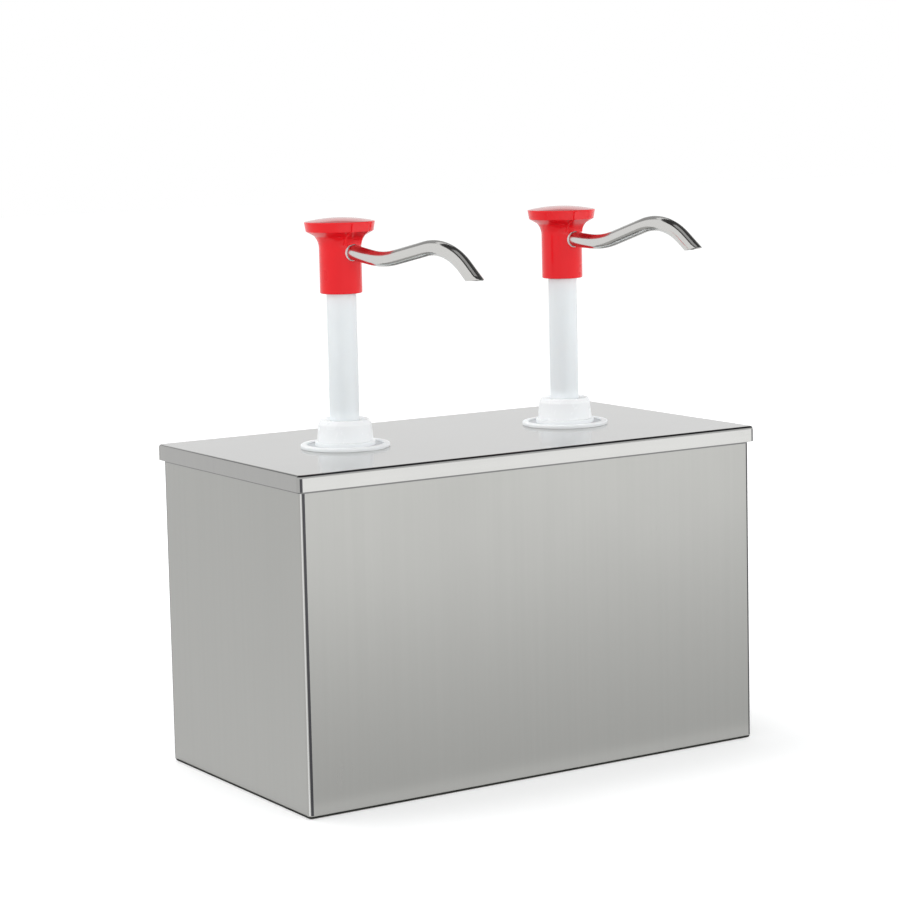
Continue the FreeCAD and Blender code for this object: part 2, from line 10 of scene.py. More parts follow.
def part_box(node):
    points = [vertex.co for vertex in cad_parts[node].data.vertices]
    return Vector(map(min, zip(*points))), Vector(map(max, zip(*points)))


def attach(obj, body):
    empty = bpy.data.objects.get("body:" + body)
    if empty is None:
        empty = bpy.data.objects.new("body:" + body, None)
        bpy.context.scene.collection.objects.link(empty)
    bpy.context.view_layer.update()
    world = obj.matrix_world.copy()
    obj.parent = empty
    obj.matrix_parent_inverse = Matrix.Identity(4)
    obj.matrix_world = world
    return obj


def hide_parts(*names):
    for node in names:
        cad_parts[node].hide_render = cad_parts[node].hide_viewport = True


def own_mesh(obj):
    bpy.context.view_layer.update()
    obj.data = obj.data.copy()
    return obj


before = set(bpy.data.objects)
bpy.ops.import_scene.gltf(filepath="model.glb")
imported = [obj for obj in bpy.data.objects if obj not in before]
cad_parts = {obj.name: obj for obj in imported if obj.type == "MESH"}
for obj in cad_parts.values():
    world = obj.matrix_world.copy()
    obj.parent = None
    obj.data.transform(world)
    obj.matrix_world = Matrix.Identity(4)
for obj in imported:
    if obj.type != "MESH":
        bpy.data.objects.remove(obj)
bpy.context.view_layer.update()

bl_info = {
    "name": "Two-pump syrup station",
    "version": (1, 0, 0),
    "blender": (4, 5, 0),
    "location": "3D View > Sidebar > Syrup station",
    "description": "Builds the pieces, finishes and studio of a steel syrup station with two push pumps",
    "category": "Add Mesh",
}

SIDES = ("left", "right")
MERGE_DISTANCE = 1e-6
CLEARANCE = 0.0001
WHITE = (1, 1, 1, 1)
UPRIGHT_GRAIN, LENGTHWISE_GRAIN = (1400, 1400, 16), (16, 1400, 1400)

# Places in the list of a sheet piece's finishes
# The third place holds a painted dark reflection; on the cabinet the second holds a painted highlight.
MAIN, SECOND, PAINTED_DARK, INSIDE, LAST = range(5)

lid_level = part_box("lid")[1].z


# Settings


def size(name, description, default):
    """A length that a user would change, in metres."""
    return bpy.props.FloatProperty(name=name, description=description, default=default, min=0.0,
                                   precision=5, unit="LENGTH")


def turn_of(name, description, degrees):
    """An angle that a user would change."""
    return bpy.props.FloatProperty(name=name, description=description, default=math.radians(degrees),
                                   subtype="ANGLE", unit="ROTATION")


def share(name, description, default, highest=1.0):
    """A plain number that a user would change."""
    return bpy.props.FloatProperty(name=name, description=description, default=default, min=0.0,
                                   max=highest)


def colour(name, description, default):
    """A colour that a user would change."""
    return bpy.props.FloatVectorProperty(name=name, description=description, default=default, min=0.0,
                                         max=1.0, size=3, subtype="COLOR")


class CabinetSizes(bpy.types.PropertyGroup):
    """Sheet work of the cabinet and its lid."""

    sheet: size("Cabinet sheet", "Thickness of the cabinet's sheet", 0.001)
    corner: size("Cabinet corner", "Radius of the cabinet's upright corners", 0.0035)
    base_bend: size("Base bend", "Radius of the bend round the cabinet's base", 0.003)
    # Height of the painted shadow band just under the lid's skirt.
    rub_line: size("Rub line", "Height of the painted shadow line under the lid's skirt", 0.0016)
    hem_depth: size("Hem depth", "How far the hem folds down", 0.008)
    hem_gap: size("Hem gap", "Gap between the folded hem and the wall", 0.0002)
    lid_sheet: size("Lid sheet", "Thickness of the lid's sheet", 0.0008)
    lid_corner: size("Lid corner", "Radius of the lid's upright corners", 0.0035)
    lid_bend: size("Lid bend", "Radius of the bend round the lid's top", 0.0022)
    lid_hole: size("Pump hole", "Radius of the holes for the pumps", 0.0176)
    edge_round: size("Sheet edge round", "Rounding of the cut edges of the sheet", 0.00015)


class PumpSizes(bpy.types.PropertyGroup):
    """Turned and moulded pieces of a pump. Heights count from the lid's top."""

    bore: size("Bore", "Radius of the barrel's bore", 0.012)
    barrel: size("Barrel", "Outer radius of the barrel", 0.014)
    neck: size("Neck", "Radius of the barrel's neck", 0.0165)
    thread: size("Thread", "Outer radius of the thread under the flange", 0.017)
    thread_depth: size("Thread depth", "How far the thread stands out", 0.0007)
    thread_pitch: size("Thread pitch", "Climb of the thread in one turn", 0.0025)
    thread_length: size("Thread length", "Length of the thread below the flange", 0.016)
    boss: size("Boss", "Radius of the raised boss under the collar", 0.021)
    groove: size("Groove", "Outer radius of the flange's ring groove", 0.027)
    flange: size("Flange", "Radius of the base flange", 0.03125)
    flange_height: size("Flange height", "Thickness of the flange's rim", 0.0027)
    groove_depth: size("Groove depth", "Depth of the flange's ring groove", 0.0013)
    boss_height: size("Boss height", "Height of the raised boss", 0.0044)
    neck_top: size("Neck top", "Height of the barrel's neck", 0.0126)
    floor_drop: size("Floor drop", "How far the floor lies below the lid", 0.1313)
    floor: size("Barrel floor", "Thickness of the barrel's floor", 0.003)
    spigot: size("Spigot", "Radius of the spigot for the suction tube", 0.006)
    spigot_length: size("Spigot length", "Length of the spigot", 0.014)
    valve_hole: size("Valve hole", "Radius of the inlet hole", 0.0036)
    valve_mouth: size("Valve mouth", "Radius of the coned seat's top", 0.006)
    valve_depth: size("Valve depth", "Depth of the coned seat", 0.0024)
    collar: size("Collar", "Radius of the collar at its foot", 0.0197)
    collar_shoulder: size("Collar shoulder", "Radius where its side turns in", 0.0186)
    collar_crown: size("Collar crown", "Radius of the collar at its top", 0.0172)
    collar_dish: size("Collar dish", "Radius of the dish round the stem", 0.015)
    collar_height: size("Collar height", "Height of the collar above the boss", 0.0153)
    collar_band: size("Collar band", "Height of its steeper top band", 0.0033)
    collar_plate: size("Collar plate", "Thickness of the collar's top", 0.0033)
    stem_hole: size("Stem hole", "Radius of the collar's hole", 0.0107)
    spring: size("Spring", "Radius of the spring to its wire's middle", 0.0094)
    spring_wire: size("Spring wire", "Diameter of the spring's wire", 0.0014)
    spring_end: size("Spring end", "Climb of each close end turn", 0.0019)
    spring_turns: bpy.props.IntProperty(name="Spring turns", description="Open turns of the spring",
                                        default=9, min=1)


class HeadSizes(bpy.types.PropertyGroup):
    """The press head and its spout. Heights count from the lid's top."""

    foot: size("Head foot", "Height of the head's foot", 0.1074)
    neck: size("Head neck", "Radius of the head's neck", 0.0147)
    flare_foot: size("Flare foot", "Height where the neck begins to flare", 0.1387)
    flare: size("Flare", "Radius at the top of the flare", 0.018)
    cap_foot: size("Cap foot", "Height of the cap's underside", 0.1473)
    side_foot: size("Side foot", "Height where the cap's side begins", 0.1504)
    side: size("Side", "Radius of the cap where its side begins", 0.0235)
    cap: size("Cap", "Radius of the cap's rim", 0.0246)
    rim: size("Rim", "Height of the cap's rim", 0.157)
    dome: size("Dome", "Rise of the dome over the rim", 0.0028)
    web: size("Web", "Width of the web over the spout", 0.0144)
    web_reach: size("Web reach", "How far its foot stands out", 0.0008)
    socket: size("Socket", "Radius of the stem's socket", 0.0105)
    socket_depth: size("Socket depth", "Depth of the stem's socket", 0.018)
    passage: size("Passage", "Radius of the syrup passage", 0.0056)
    spout: size("Spout", "Outer radius of the spout's tube", 0.0053)
    spout_wall: size("Spout wall", "Wall of the spout's tube", 0.0008)
    spout_drop: size("Spout drop", "How far it lies below the cap", 0.0115)
    ring_width: size("Ring width", "Width of the ring round the spout", 0.00035)
    ring_depth: size("Ring depth", "How far the ring sits in the neck", 0.0018)
    ring_proud: size("Ring proud", "How far the ring stands out of the neck", 0.0002)
    left_turn: turn_of("Left turn", "Angle of the left spout from +X", -83.0)
    right_turn: turn_of("Right turn", "Angle of the right spout from +X", -85.7)
    left_droop: turn_of("Left droop", "Dip of the left spout at the head", 8.0)
    right_droop: turn_of("Right droop", "Dip of the right spout at the head", 3.0)
    entry_radius: size("Entry radius", "Radius of the bend at the head", 0.025)
    run_in: size("Run in", "Straight length before the dip", 0.016)
    dip_radius: size("Dip radius", "Radius of the spout's low bend", 0.080)
    dip_angle: turn_of("Dip angle", "How far it turns up there", 20.0)
    rise: size("Rise", "Straight length up to the crest", 0.0325)
    crest_radius: size("Crest radius", "Radius of the bend over the crest", 0.048)
    crest_angle: turn_of("Crest angle", "How far it turns down there", 53.0)
    tip_length: size("Tip length", "Straight length down to the mouth", 0.0124)
    mouth_slope: turn_of("Mouth slope", "Mouth's slope on a level spout", 13.5)


class Finishes(bpy.types.PropertyGroup):
    """Colours and gloss of the station's materials."""

    cabinet_steel: colour("Cabinet steel", "Colour of the cabinet's sheet", (0.400, 0.401, 0.386))
    cabinet_gloss: share("Cabinet roughness", "Roughness of the cabinet's sheet", 0.30)
    lid_steel: colour("Lid steel", "Colour of the lid's skirt", (0.382, 0.382, 0.373))
    # Painted light: the lid's top is given a lighter steel than its skirt.
    lid_top_painted_light: colour("Lid top", "Colour of the lid's top, painted lighter than its skirt", (0.52, 0.52, 0.51))
    lid_gloss: share("Lid roughness", "Roughness of the lid's sheet", 0.12)
    # The next two colours are painted light: a highlight and a dark reflection along the bends.
    burnished: colour("Burnished corner", "Colour of the painted highlight on one half of a corner", (0.72, 0.72, 0.71))
    dull: colour("Dull corner", "Colour of the painted dark reflection on corners and the lid's front bend", (0.07, 0.07, 0.075))
    inner_steel: colour("Inner steel", "Colour of the sheet's inner sides", (0.70, 0.70, 0.69))
    # Colour of the painted shadow band just under the lid's skirt.
    rub_line: colour("Rub line", "Colour of the painted shadow line under the lid's skirt", (0.20, 0.20, 0.20))
    pan_steel: colour("Pan steel", "Colour of the drawn pans", (0.74, 0.74, 0.73))
    spout_steel: colour("Spout steel", "Colour of the polished spouts", (0.62, 0.615, 0.60))
    red: colour("Red", "Colour of the press heads", (0.83, 0.006, 0.012))
    # Painted shade: the domes take a darker red than the rest of the heads.
    red_dome_painted_shade: colour("Red dome", "Colour of the press heads' domes, painted darker than the red below", (0.54, 0.010, 0.014))
    white: colour("White", "Colour of the collars", (0.94, 0.955, 0.965))
    flange_white: colour("Flange white", "Colour of the barrels and flanges", (0.91, 0.93, 0.94))
    # Painted shade for the floor of the flange's groove.
    groove_painted_shade: colour("Groove", "Colour of the flange's groove floor, painted grey as shade", (0.58, 0.60, 0.62))
    stem: colour("Stem", "Colour of the stems", (0.82, 0.855, 0.87))
    rubber: colour("Rubber", "Colour of the gaskets and wiper seals", (0.035, 0.035, 0.038))
    silicone: colour("Silicone", "Colour of the rings round the spouts", (0.86, 0.87, 0.86))
    natural: colour("Natural plastic", "Colour of the inner pieces", (0.74, 0.73, 0.68))
    hose: colour("Hose", "Colour of the suction tubes", (0.80, 0.82, 0.80))
    spring_steel: colour("Spring steel", "Colour of the return springs", (0.42, 0.41, 0.39))


class StageSettings(bpy.types.PropertyGroup):
    """Studio round the station."""

    sky: share("Sky", "Light of the surroundings near the floor", 1.27, 4.0)
    zenith: share("Zenith", "Light of the surroundings from above", 0.45, 4.0)
    floor_glow: share("Floor glow", "Seen light of the floor by the station", 0.33, 4.0)
    far_glow: share("Far glow", "Seen light of the floor far from it", 0.46, 4.0)
    floor_shade: share("Floor shade", "How much the floor shows the shadow", 0.85)


class StationSettings(bpy.types.PropertyGroup):
    """All settings of the station."""

    cabinet: bpy.props.PointerProperty(type=CabinetSizes, name="Cabinet", description="Cabinet and lid")
    pump: bpy.props.PointerProperty(type=PumpSizes, name="Pump", description="Barrel and collar")
    head: bpy.props.PointerProperty(type=HeadSizes, name="Head", description="Press head and spout")
    finish: bpy.props.PointerProperty(type=Finishes, name="Finishes", description="Colours and gloss")
    stage: bpy.props.PointerProperty(type=StageSettings, name="Stage", description="Floor and light")


# Outlines, as lists of (distance, height) points


def arc(centre, radius, start, end, steps):
    """Points of an arc between two angles in degrees, with both its ends."""
    points = []
    for step in range(steps + 1):
        way = math.radians(start + (end - start) * step / steps)
        points.append((centre[0] + radius * math.cos(way), centre[1] + radius * math.sin(way)))
    return points


def sweep(start, end, heading, steps):
    """Points of the arc that leaves one point along a heading in degrees and reaches another."""
    across, rise = end[0] - start[0], end[1] - start[1]
    half = math.atan2(rise, across) - math.radians(heading)
    radius = math.hypot(across, rise) / 2 / math.sin(half)
    points = []
    for step in range(steps + 1):
        part = half * step / steps
        chord = 2 * radius * math.sin(part)
        way = math.radians(heading) + part
        points.append((start[0] + chord * math.cos(way), start[1] + chord * math.sin(way)))
    return points


def softened(corners):
    """Outline with rounded corners. A corner is a point and its radius, and a radius of 0 keeps it sharp."""
    points, steps = [], 4
    for index, (across, height, radius) in enumerate(corners):
        here = Vector((across, height))
        if not radius:
            points.append(tuple(here))
            continue
        before = Vector(corners[index - 1][:2]) - here
        after = Vector(corners[(index + 1) % len(corners)][:2]) - here
        half = before.angle(after) / 2
        centre = here + (before.normalized() + after.normalized()).normalized() * (radius / math.sin(half))
        start = (here + before.normalized() * (radius / math.tan(half)) - centre).normalized()
        end = (here + after.normalized() * (radius / math.tan(half)) - centre).normalized()
        points += [tuple(centre + start.slerp(end, step / steps) * radius) for step in range(steps + 1)]
    return points


# Shapes


def edges_in(items):
    """The edges in a list of geometry."""
    return [item for item in items if isinstance(item, bmesh.types.BMEdge)]


def verts_in(items):
    """The points in a list of geometry."""
    return [item for item in items if isinstance(item, bmesh.types.BMVert)]


def edges_at(verts):
    """The edges that end in the given points."""
    return list({edge for vert in verts for edge in vert.link_edges})


def turn_faces_outward(bm):
    """Make every face of a closed mesh look outward."""
    bmesh.ops.recalc_face_normals(bm, faces=bm.faces[:])


def quarter_turn(bm, verts, axis="Y"):
    """Turn points by a right angle about an axis through the origin."""
    bmesh.ops.rotate(bm, cent=(0, 0, 0), matrix=Matrix.Rotation(math.pi / 2, 3, axis), verts=verts)


def spun(bm, geom, angle, steps, climb=(0, 0, 0), pivot=(0, 0, 0), axis=(0, 0, 1), merge=False):
    """Spin points and edges into a surface, with a climb at each step, and give its last ones."""
    return bmesh.ops.spin(bm, geom=geom, cent=pivot, axis=axis, dvec=climb, angle=angle, steps=steps,
                          use_merge=merge, use_duplicate=False)["geom_last"]


def revolve(bm, outline, closed=True, steps=96):
    """Turn an outline about the upright axis. An open one starts and ends on the axis."""
    verts = [bm.verts.new((distance, 0.0, height)) for distance, height in outline]
    pairs = list(zip(verts, verts[1:]))
    if closed:
        pairs.append((verts[-1], verts[0]))
    edges = [bm.edges.new(pair) for pair in pairs]
    spun(bm, verts + edges, 2 * math.pi, steps, merge=True)
    bmesh.ops.remove_doubles(bm, verts=bm.verts[:], dist=MERGE_DISTANCE)
    turn_faces_outward(bm)


def wind_thread(bm, root, rise, pitch, foot, top):
    """Wind one ridge of a screw thread between two heights, with a lead-in at each end."""
    buried = root - rise / 2
    section = ((buried, -0.36), (root + rise, -0.13), (root + rise, 0.13), (buried, 0.36))
    first = len(bm.verts)
    verts = [bm.verts.new((distance, 0.0, foot + offset * pitch)) for distance, offset in section]
    edges = [bm.edges.new(pair) for pair in zip(verts, verts[1:] + verts[:1])]
    turns, steps_per_turn = (top - foot) / pitch, 48
    steps = int(steps_per_turn * turns)
    last = spun(bm, verts + edges, 2 * math.pi * turns, steps, climb=(0, 0, (top - foot) / steps))
    for loop in (edges, edges_in(last)):
        bmesh.ops.edgeloop_fill(bm, edges=loop)
    bm.verts.ensure_lookup_table()
    lead_steps = 16
    flush = root - rise / 4
    for index, vert in enumerate(bm.verts[first:]):
        step = index // len(section)
        share_out = min(1.0, step / lead_steps, (steps - step) / lead_steps)
        distance = vert.co.xy.length
        if distance > root:
            vert.co.xy *= (flush + (distance - flush) * share_out) / distance
    turn_faces_outward(bm)


def ring(bm, core, radius, level):
    """Ring of edges: a rectangle whose corners turn in even steps about the core's four points."""
    corner_steps = 12
    count = corner_steps + 1
    verts = bmesh.ops.create_circle(bm, segments=4 * count, radius=1)["verts"]
    for index, vert in enumerate(verts):
        quarter, step = divmod(index, count)
        way = math.radians(90 * (quarter + step / corner_steps))
        pivot_x = core[0] if quarter in (0, 3) else -core[0]
        pivot_y = core[1] if quarter in (0, 1) else -core[1]
        vert.co = (pivot_x + radius * math.cos(way), pivot_y + radius * math.sin(way), level)
    return edges_at(verts)


def draw_wall(bm, edges, core, corner, profile):
    """Carry a ring of edges along a wall's profile of (inset, height) points, and give its last ring."""
    for inset, level in profile:
        made = bmesh.ops.extrude_edge_only(bm, edges=edges)["geom"]
        edges = [edge for edge in edges_in(made) if edge.is_boundary]
        for vert in {vert for edge in edges for vert in edge.verts}:
            pivot = Vector((math.copysign(core[0], vert.co.x), math.copysign(core[1], vert.co.y)))
            outward = (vert.co.xy - pivot).normalized()
            vert.co.xy = pivot + outward * (corner - inset)
            vert.co.z = level
    return edges


def corner_part(face):
    """Finish of a face of the sheet: an upright corner has a painted highlight on one half and a painted
    dark reflection on the other, picked by which way the face looks.
    """
    across, forward, upward = (abs(part) for part in face.normal)
    flat = 0.05
    if upward > flat or min(across, forward) < flat:
        return MAIN
    slope = forward / across
    if face.normal.y > 0:
        return PAINTED_DARK if slope < 0.4 else MAIN
    if 1.4 < slope < 6:
        return PAINTED_DARK
    return SECOND if 0.6 < slope < 0.95 else MAIN


def faces_inward(face, middle):
    """True for the sheet's inner side, which looks towards the middle of its piece."""
    return (face.calc_center_median() - middle).dot(face.normal) < 0


def pump_axis(side):
    """Where a pump stands on the lid, and its lid level."""
    low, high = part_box(side + "_barrel")
    return Vector(((low.x + high.x) / 2, (low.y + high.y) / 2, lid_level))


def place_on_pump(bm, side, turned_by=0.0):
    """Move a piece from its own axis to its pump, turned with the spout where it follows it."""
    bmesh.ops.rotate(bm, cent=(0, 0, 0), matrix=Matrix.Rotation(turned_by, 3, "Z"), verts=bm.verts[:])
    bmesh.ops.translate(bm, vec=pump_axis(side), verts=bm.verts[:])


def linked(name, data):
    """Object of a mesh, a lamp or a lens, in the scene."""
    made = bpy.data.objects.new(name, data)
    bpy.context.scene.collection.objects.link(made)
    return made


def loose_object(bm, name):
    """Plain object of a mesh, which is used up."""
    mesh = bpy.data.meshes.new(name)
    bm.to_mesh(mesh)
    bm.free()
    return linked(name, mesh)


def new_piece(bm, name, body, nodes, finishes, crease=35.0):
    """Make a finished piece of the mesh, in place of the given nodes."""
    piece = loose_object(bm, name)
    piece.data.shade_smooth()
    piece.data.set_sharp_from_angle(angle=math.radians(crease))
    for material in finishes:
        piece.data.materials.append(material)
    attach(piece, body)
    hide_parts(*nodes)
    weighted = piece.modifiers.new("Flat faces stay flat", "WEIGHTED_NORMAL")
    weighted.keep_sharp = True
    return piece


def combined(bm, tool, operation):
    """Join a closed object to a mesh or cut it from it. Both are used up."""
    body = loose_object(bm, "body")
    step = body.modifiers.new("Combine", "BOOLEAN")
    step.operation = operation
    step.solver = "EXACT"
    step.object = tool
    bpy.context.view_layer.update()
    mesh = bpy.data.meshes.new_from_object(body.evaluated_get(bpy.context.evaluated_depsgraph_get()))
    bpy.data.objects.remove(tool)
    bpy.data.objects.remove(body)
    bm = bmesh.new()
    bm.from_mesh(mesh)
    bpy.data.meshes.remove(mesh)
    return bm


# Materials


def add(tree, kind, inputs, output=0, **settings):
    """Add a node and give one of its outputs. An input is a value, or the output that feeds it."""
    made = tree.nodes.new("ShaderNode" + kind)
    for name, value in settings.items():
        setattr(made, name, value)
    for name, value in inputs.items():
        socket = made.inputs[name]
        if isinstance(value, bpy.types.NodeSocket):
            tree.links.new(value, socket)
        else:
            socket.default_value = value
    return made.outputs[output] if made.outputs else None


def lumps(tree, per_metre, detail=2.0, slant=(0, 0, 0)):
    """Noise in the piece's own space. The three numbers say how many lumps lie in a metre each way."""
    place = add(tree, "TexCoord", {}, "Object")
    scaled = add(tree, "Mapping", {"Vector": place, "Rotation": slant, "Scale": per_metre})
    return add(tree, "TexNoise", {"Vector": scaled, "Scale": 1.0, "Detail": detail, "Roughness": 0.55},
               "Fac")


def spread(tree, value, low, high, start=0.3, end=0.7):
    """Stretch a noise between two values."""
    return add(tree, "MapRange", {"Value": value, "From Min": start, "From Max": end, "To Min": low,
                                  "To Max": high}, "Result")


def sum_of(tree, first, second, clamp=False):
    """Sum of two values."""
    return add(tree, "Math", {0: first, 1: second}, operation="ADD", use_clamp=clamp)


def shades(tree, value, base, darker, lighter):
    """Colour that runs between a darker and a lighter shade."""
    dark = (*[channel * darker for channel in base], 1.0)
    light = (*[min(1.0, channel * lighter) for channel in base], 1.0)
    return add(tree, "Mix", {"Factor": value, 6: dark, 7: light}, 2, data_type="RGBA")


def bumped(tree, height, depth, strength, under=None):
    """Bump of a depth in metres, on top of another one if there is one."""
    other = {} if under is None else {"Normal": under}
    return add(tree, "Bump", {"Height": height, "Distance": depth, "Strength": strength, **other})


def new_material(name, metallic=0.0):
    """Material, its node tree and its shader."""
    material = bpy.data.materials.new(name)
    material.use_nodes = True
    shader = material.node_tree.nodes["Principled BSDF"]
    shader.inputs["Metallic"].default_value = metallic
    return material, material.node_tree, shader


def feed(tree, shader, colour, roughness, normal):
    """Feed the shader's colour, roughness and normal."""
    for name, socket in (("Base Color", colour), ("Roughness", roughness), ("Normal", normal)):
        tree.links.new(socket, shader.inputs[name])


def sheet_steel(name, base, roughness, grain):
    """Brushed sheet: fine grain one way, broad streaks, soft clouds, handling marks and slight waves."""
    material, tree, shader = new_material(name, 1.0)
    wave_height, grain_depth, streak_width, streak_share = 0.00004, 0.000005, 7, 0.65
    fine = lumps(tree, grain)
    streaks = lumps(tree, [number / streak_width for number in grain])
    clouds = lumps(tree, (9, 9, 9), 3.0)
    marks = lumps(tree, (60, 700, 60), slant=(0.5, 0.4, 0.9))
    scuffs = spread(tree, marks, 0.0, 0.012, 0.66, 0.74)
    cloudy = spread(tree, clouds, roughness - 0.02, roughness + 0.02)
    grained = sum_of(tree, cloudy, spread(tree, fine, -0.01, 0.01))
    waves = bumped(tree, lumps(tree, (8, 8, 8), 1.0), wave_height, 0.5)
    brushed = sum_of(tree, spread(tree, streaks, 0.0, streak_share),
                     spread(tree, fine, 0.0, 1 - streak_share))
    feed(tree, shader,
         colour=shades(tree, brushed, base, 0.98, 1.02),
         roughness=sum_of(tree, grained, scuffs),
         normal=bumped(tree, fine, grain_depth, 0.12, waves))
    return material


def drawn_steel(name, base, roughness):
    """Deep drawn sheet: upright draw lines, soft clouds and scuffs from ladles."""
    material, tree, shader = new_material(name, 1.0)
    lines = lumps(tree, (420, 420, 14), 3.0)
    clouds = lumps(tree, (16, 16, 16), 3.0)
    scuffs = spread(tree, lumps(tree, (90, 90, 900), slant=(0.3, 0.7, 0.2)), 0.0, 0.06, 0.64, 0.74)
    line_depth = 0.00001
    feed(tree, shader,
         colour=shades(tree, clouds, base, 0.98, 1.02),
         roughness=sum_of(tree, spread(tree, clouds, roughness - 0.02, roughness + 0.03), scuffs),
         normal=bumped(tree, lines, line_depth, 0.12))
    return material


def polished_steel(name, base, roughness, marks=260.0):
    """Polished metal with faint polishing marks and finger smears."""
    material, tree, shader = new_material(name, 1.0)
    smears = lumps(tree, (45, 45, 45), 4.0)
    fine = lumps(tree, (marks, marks, marks / 6), slant=(0.2, 0.5, 0.1))
    smeared = spread(tree, smears, roughness, roughness + 0.06)
    mark_depth = 0.000004
    feed(tree, shader,
         colour=shades(tree, smears, base, 0.97, 1.03),
         roughness=sum_of(tree, smeared, spread(tree, fine, 0.0, 0.02)),
         normal=bumped(tree, fine, mark_depth, 0.3))
    return material


def moulded(name, base, roughness, peel=520.0, scuff=0.05, see_through=0.0, soft=0.0, skin_gloss=0.0):
    """Moulded plastic with a faint peel, uneven shine, small scuffs, and a clear skin where it has one."""
    material, tree, shader = new_material(name)
    skin = lumps(tree, (peel, peel, peel))
    patches = lumps(tree, (32, 32, 32), 3.0)
    scuffs = spread(tree, lumps(tree, (240, 1100, 240), slant=(0.7, 0.2, 0.5)), 0.0, scuff, 0.63, 0.72)
    peel_depth = 0.000008
    if see_through:
        shader.inputs["Transmission Weight"].default_value = see_through
        shader.inputs["IOR"].default_value = 1.45
    if skin_gloss:
        shader.inputs["Specular IOR Level"].default_value = 0.1
        shader.inputs["Coat Weight"].default_value = min(1.0, skin_gloss)
        shader.inputs["Coat Roughness"].default_value = 0.05
        shader.inputs["Coat IOR"].default_value = 1.3 + 0.2 * skin_gloss
    if soft:
        shader.inputs["Subsurface Weight"].default_value = soft
        shader.inputs["Subsurface Scale"].default_value = 0.004
        shader.inputs["Subsurface Radius"].default_value = (1.0, 0.9, 0.8)
    feed(tree, shader,
         colour=shades(tree, patches, base, 0.975, 1.02),
         roughness=sum_of(tree, spread(tree, patches, roughness - 0.03, roughness + 0.05), scuffs),
         normal=bumped(tree, skin, peel_depth, 0.3))
    return material


def rubbery(name, base, roughness, dust=1.6):
    """Soft seal material: matt skin, fine pits and a trace of dust."""
    material, tree, shader = new_material(name)
    pits, pit_depth = lumps(tree, (1500, 1500, 1500)), 0.00002
    worn = lumps(tree, (120, 120, 120), 4.0)
    feed(tree, shader,
         colour=shades(tree, spread(tree, worn, 0.0, 1.0, 0.35, 0.75), base, 0.9, dust),
         roughness=spread(tree, worn, roughness - 0.08, roughness + 0.08),
         normal=bumped(tree, pits, pit_depth, 0.5))
    return material


def dress(nodes, material):
    """Give carried-over pieces of both sides their finish."""
    for side in SIDES:
        for node in nodes:
            for material_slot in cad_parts[side + "_" + node].material_slots:
                material_slot.material = material


def station():
    """Settings of the open scene."""
    return bpy.context.scene.syrup_station


# Pieces


class BuildCabinet(bpy.types.Operator):
    """Open steel cabinet with a bent base and a hem folded down inside its mouth"""

    bl_idname = "syrup_station.cabinet"
    bl_label = "Cabinet"

    def execute(self, context):
        sizes, finish = station().cabinet, station().finish
        low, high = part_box("housing")
        bend, sheet, rounding = sizes.base_bend, sizes.sheet, sizes.edge_round
        under_skirt = 0.0002
        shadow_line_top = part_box("lid")[0].z + under_skirt
        shadow_line_foot = shadow_line_top - sizes.rub_line
        fold = sheet + sizes.hem_gap / 2
        hem_front, hem_back = 2 * fold, 2 * fold - sheet
        hem_foot, hem_top = high.z - sizes.hem_depth, high.z - 1.6 * sheet
        core = (high.x - sizes.corner, high.y - sizes.corner)
        bm = bmesh.new()
        floor = ring(bm, core, sizes.corner - bend, 0.0)
        profile = arc((bend, bend), bend, 270, 180, 8)[1:] + [(0.0, shadow_line_foot), (0.0, shadow_line_top)]
        profile += arc((fold, high.z - fold), fold, 180, 0, 12)
        profile += softened([(hem_front, hem_top, 0), (hem_front, hem_foot, rounding),
                             (hem_back, hem_foot, rounding), (hem_back, hem_top, 0),
                             (sheet, hem_top, 0)])[1:]
        profile += arc((bend, bend), bend - sheet, 180, 270, 8)
        last = draw_wall(bm, floor, core, sizes.corner, profile)
        for loop in (floor, last):
            bmesh.ops.edgeloop_fill(bm, edges=loop)
        turn_faces_outward(bm)
        # Upright corners get a painted highlight on one half and a painted dark reflection on the other.
        for face in bm.faces:
            face.material_index = corner_part(face)
            if faces_inward(face, (low + high) / 2):
                face.material_index = INSIDE
            # Painted shadow: a dark band just under the lid's skirt.
            elif shadow_line_foot < face.calc_center_median().z < shadow_line_top:
                face.material_index = LAST
        looks = (("Cabinet steel", finish.cabinet_steel, finish.cabinet_gloss),
                 ("Burnished corner", finish.burnished, 0.24), ("Dull corner", finish.dull, 0.30),
                 ("Inner steel", finish.inner_steel, 0.34), ("Rub line", finish.rub_line, 0.36))
        new_piece(bm, "cabinet", "housing", ["housing"],
                  [sheet_steel(*look, UPRIGHT_GRAIN) for look in looks])
        return {"FINISHED"}


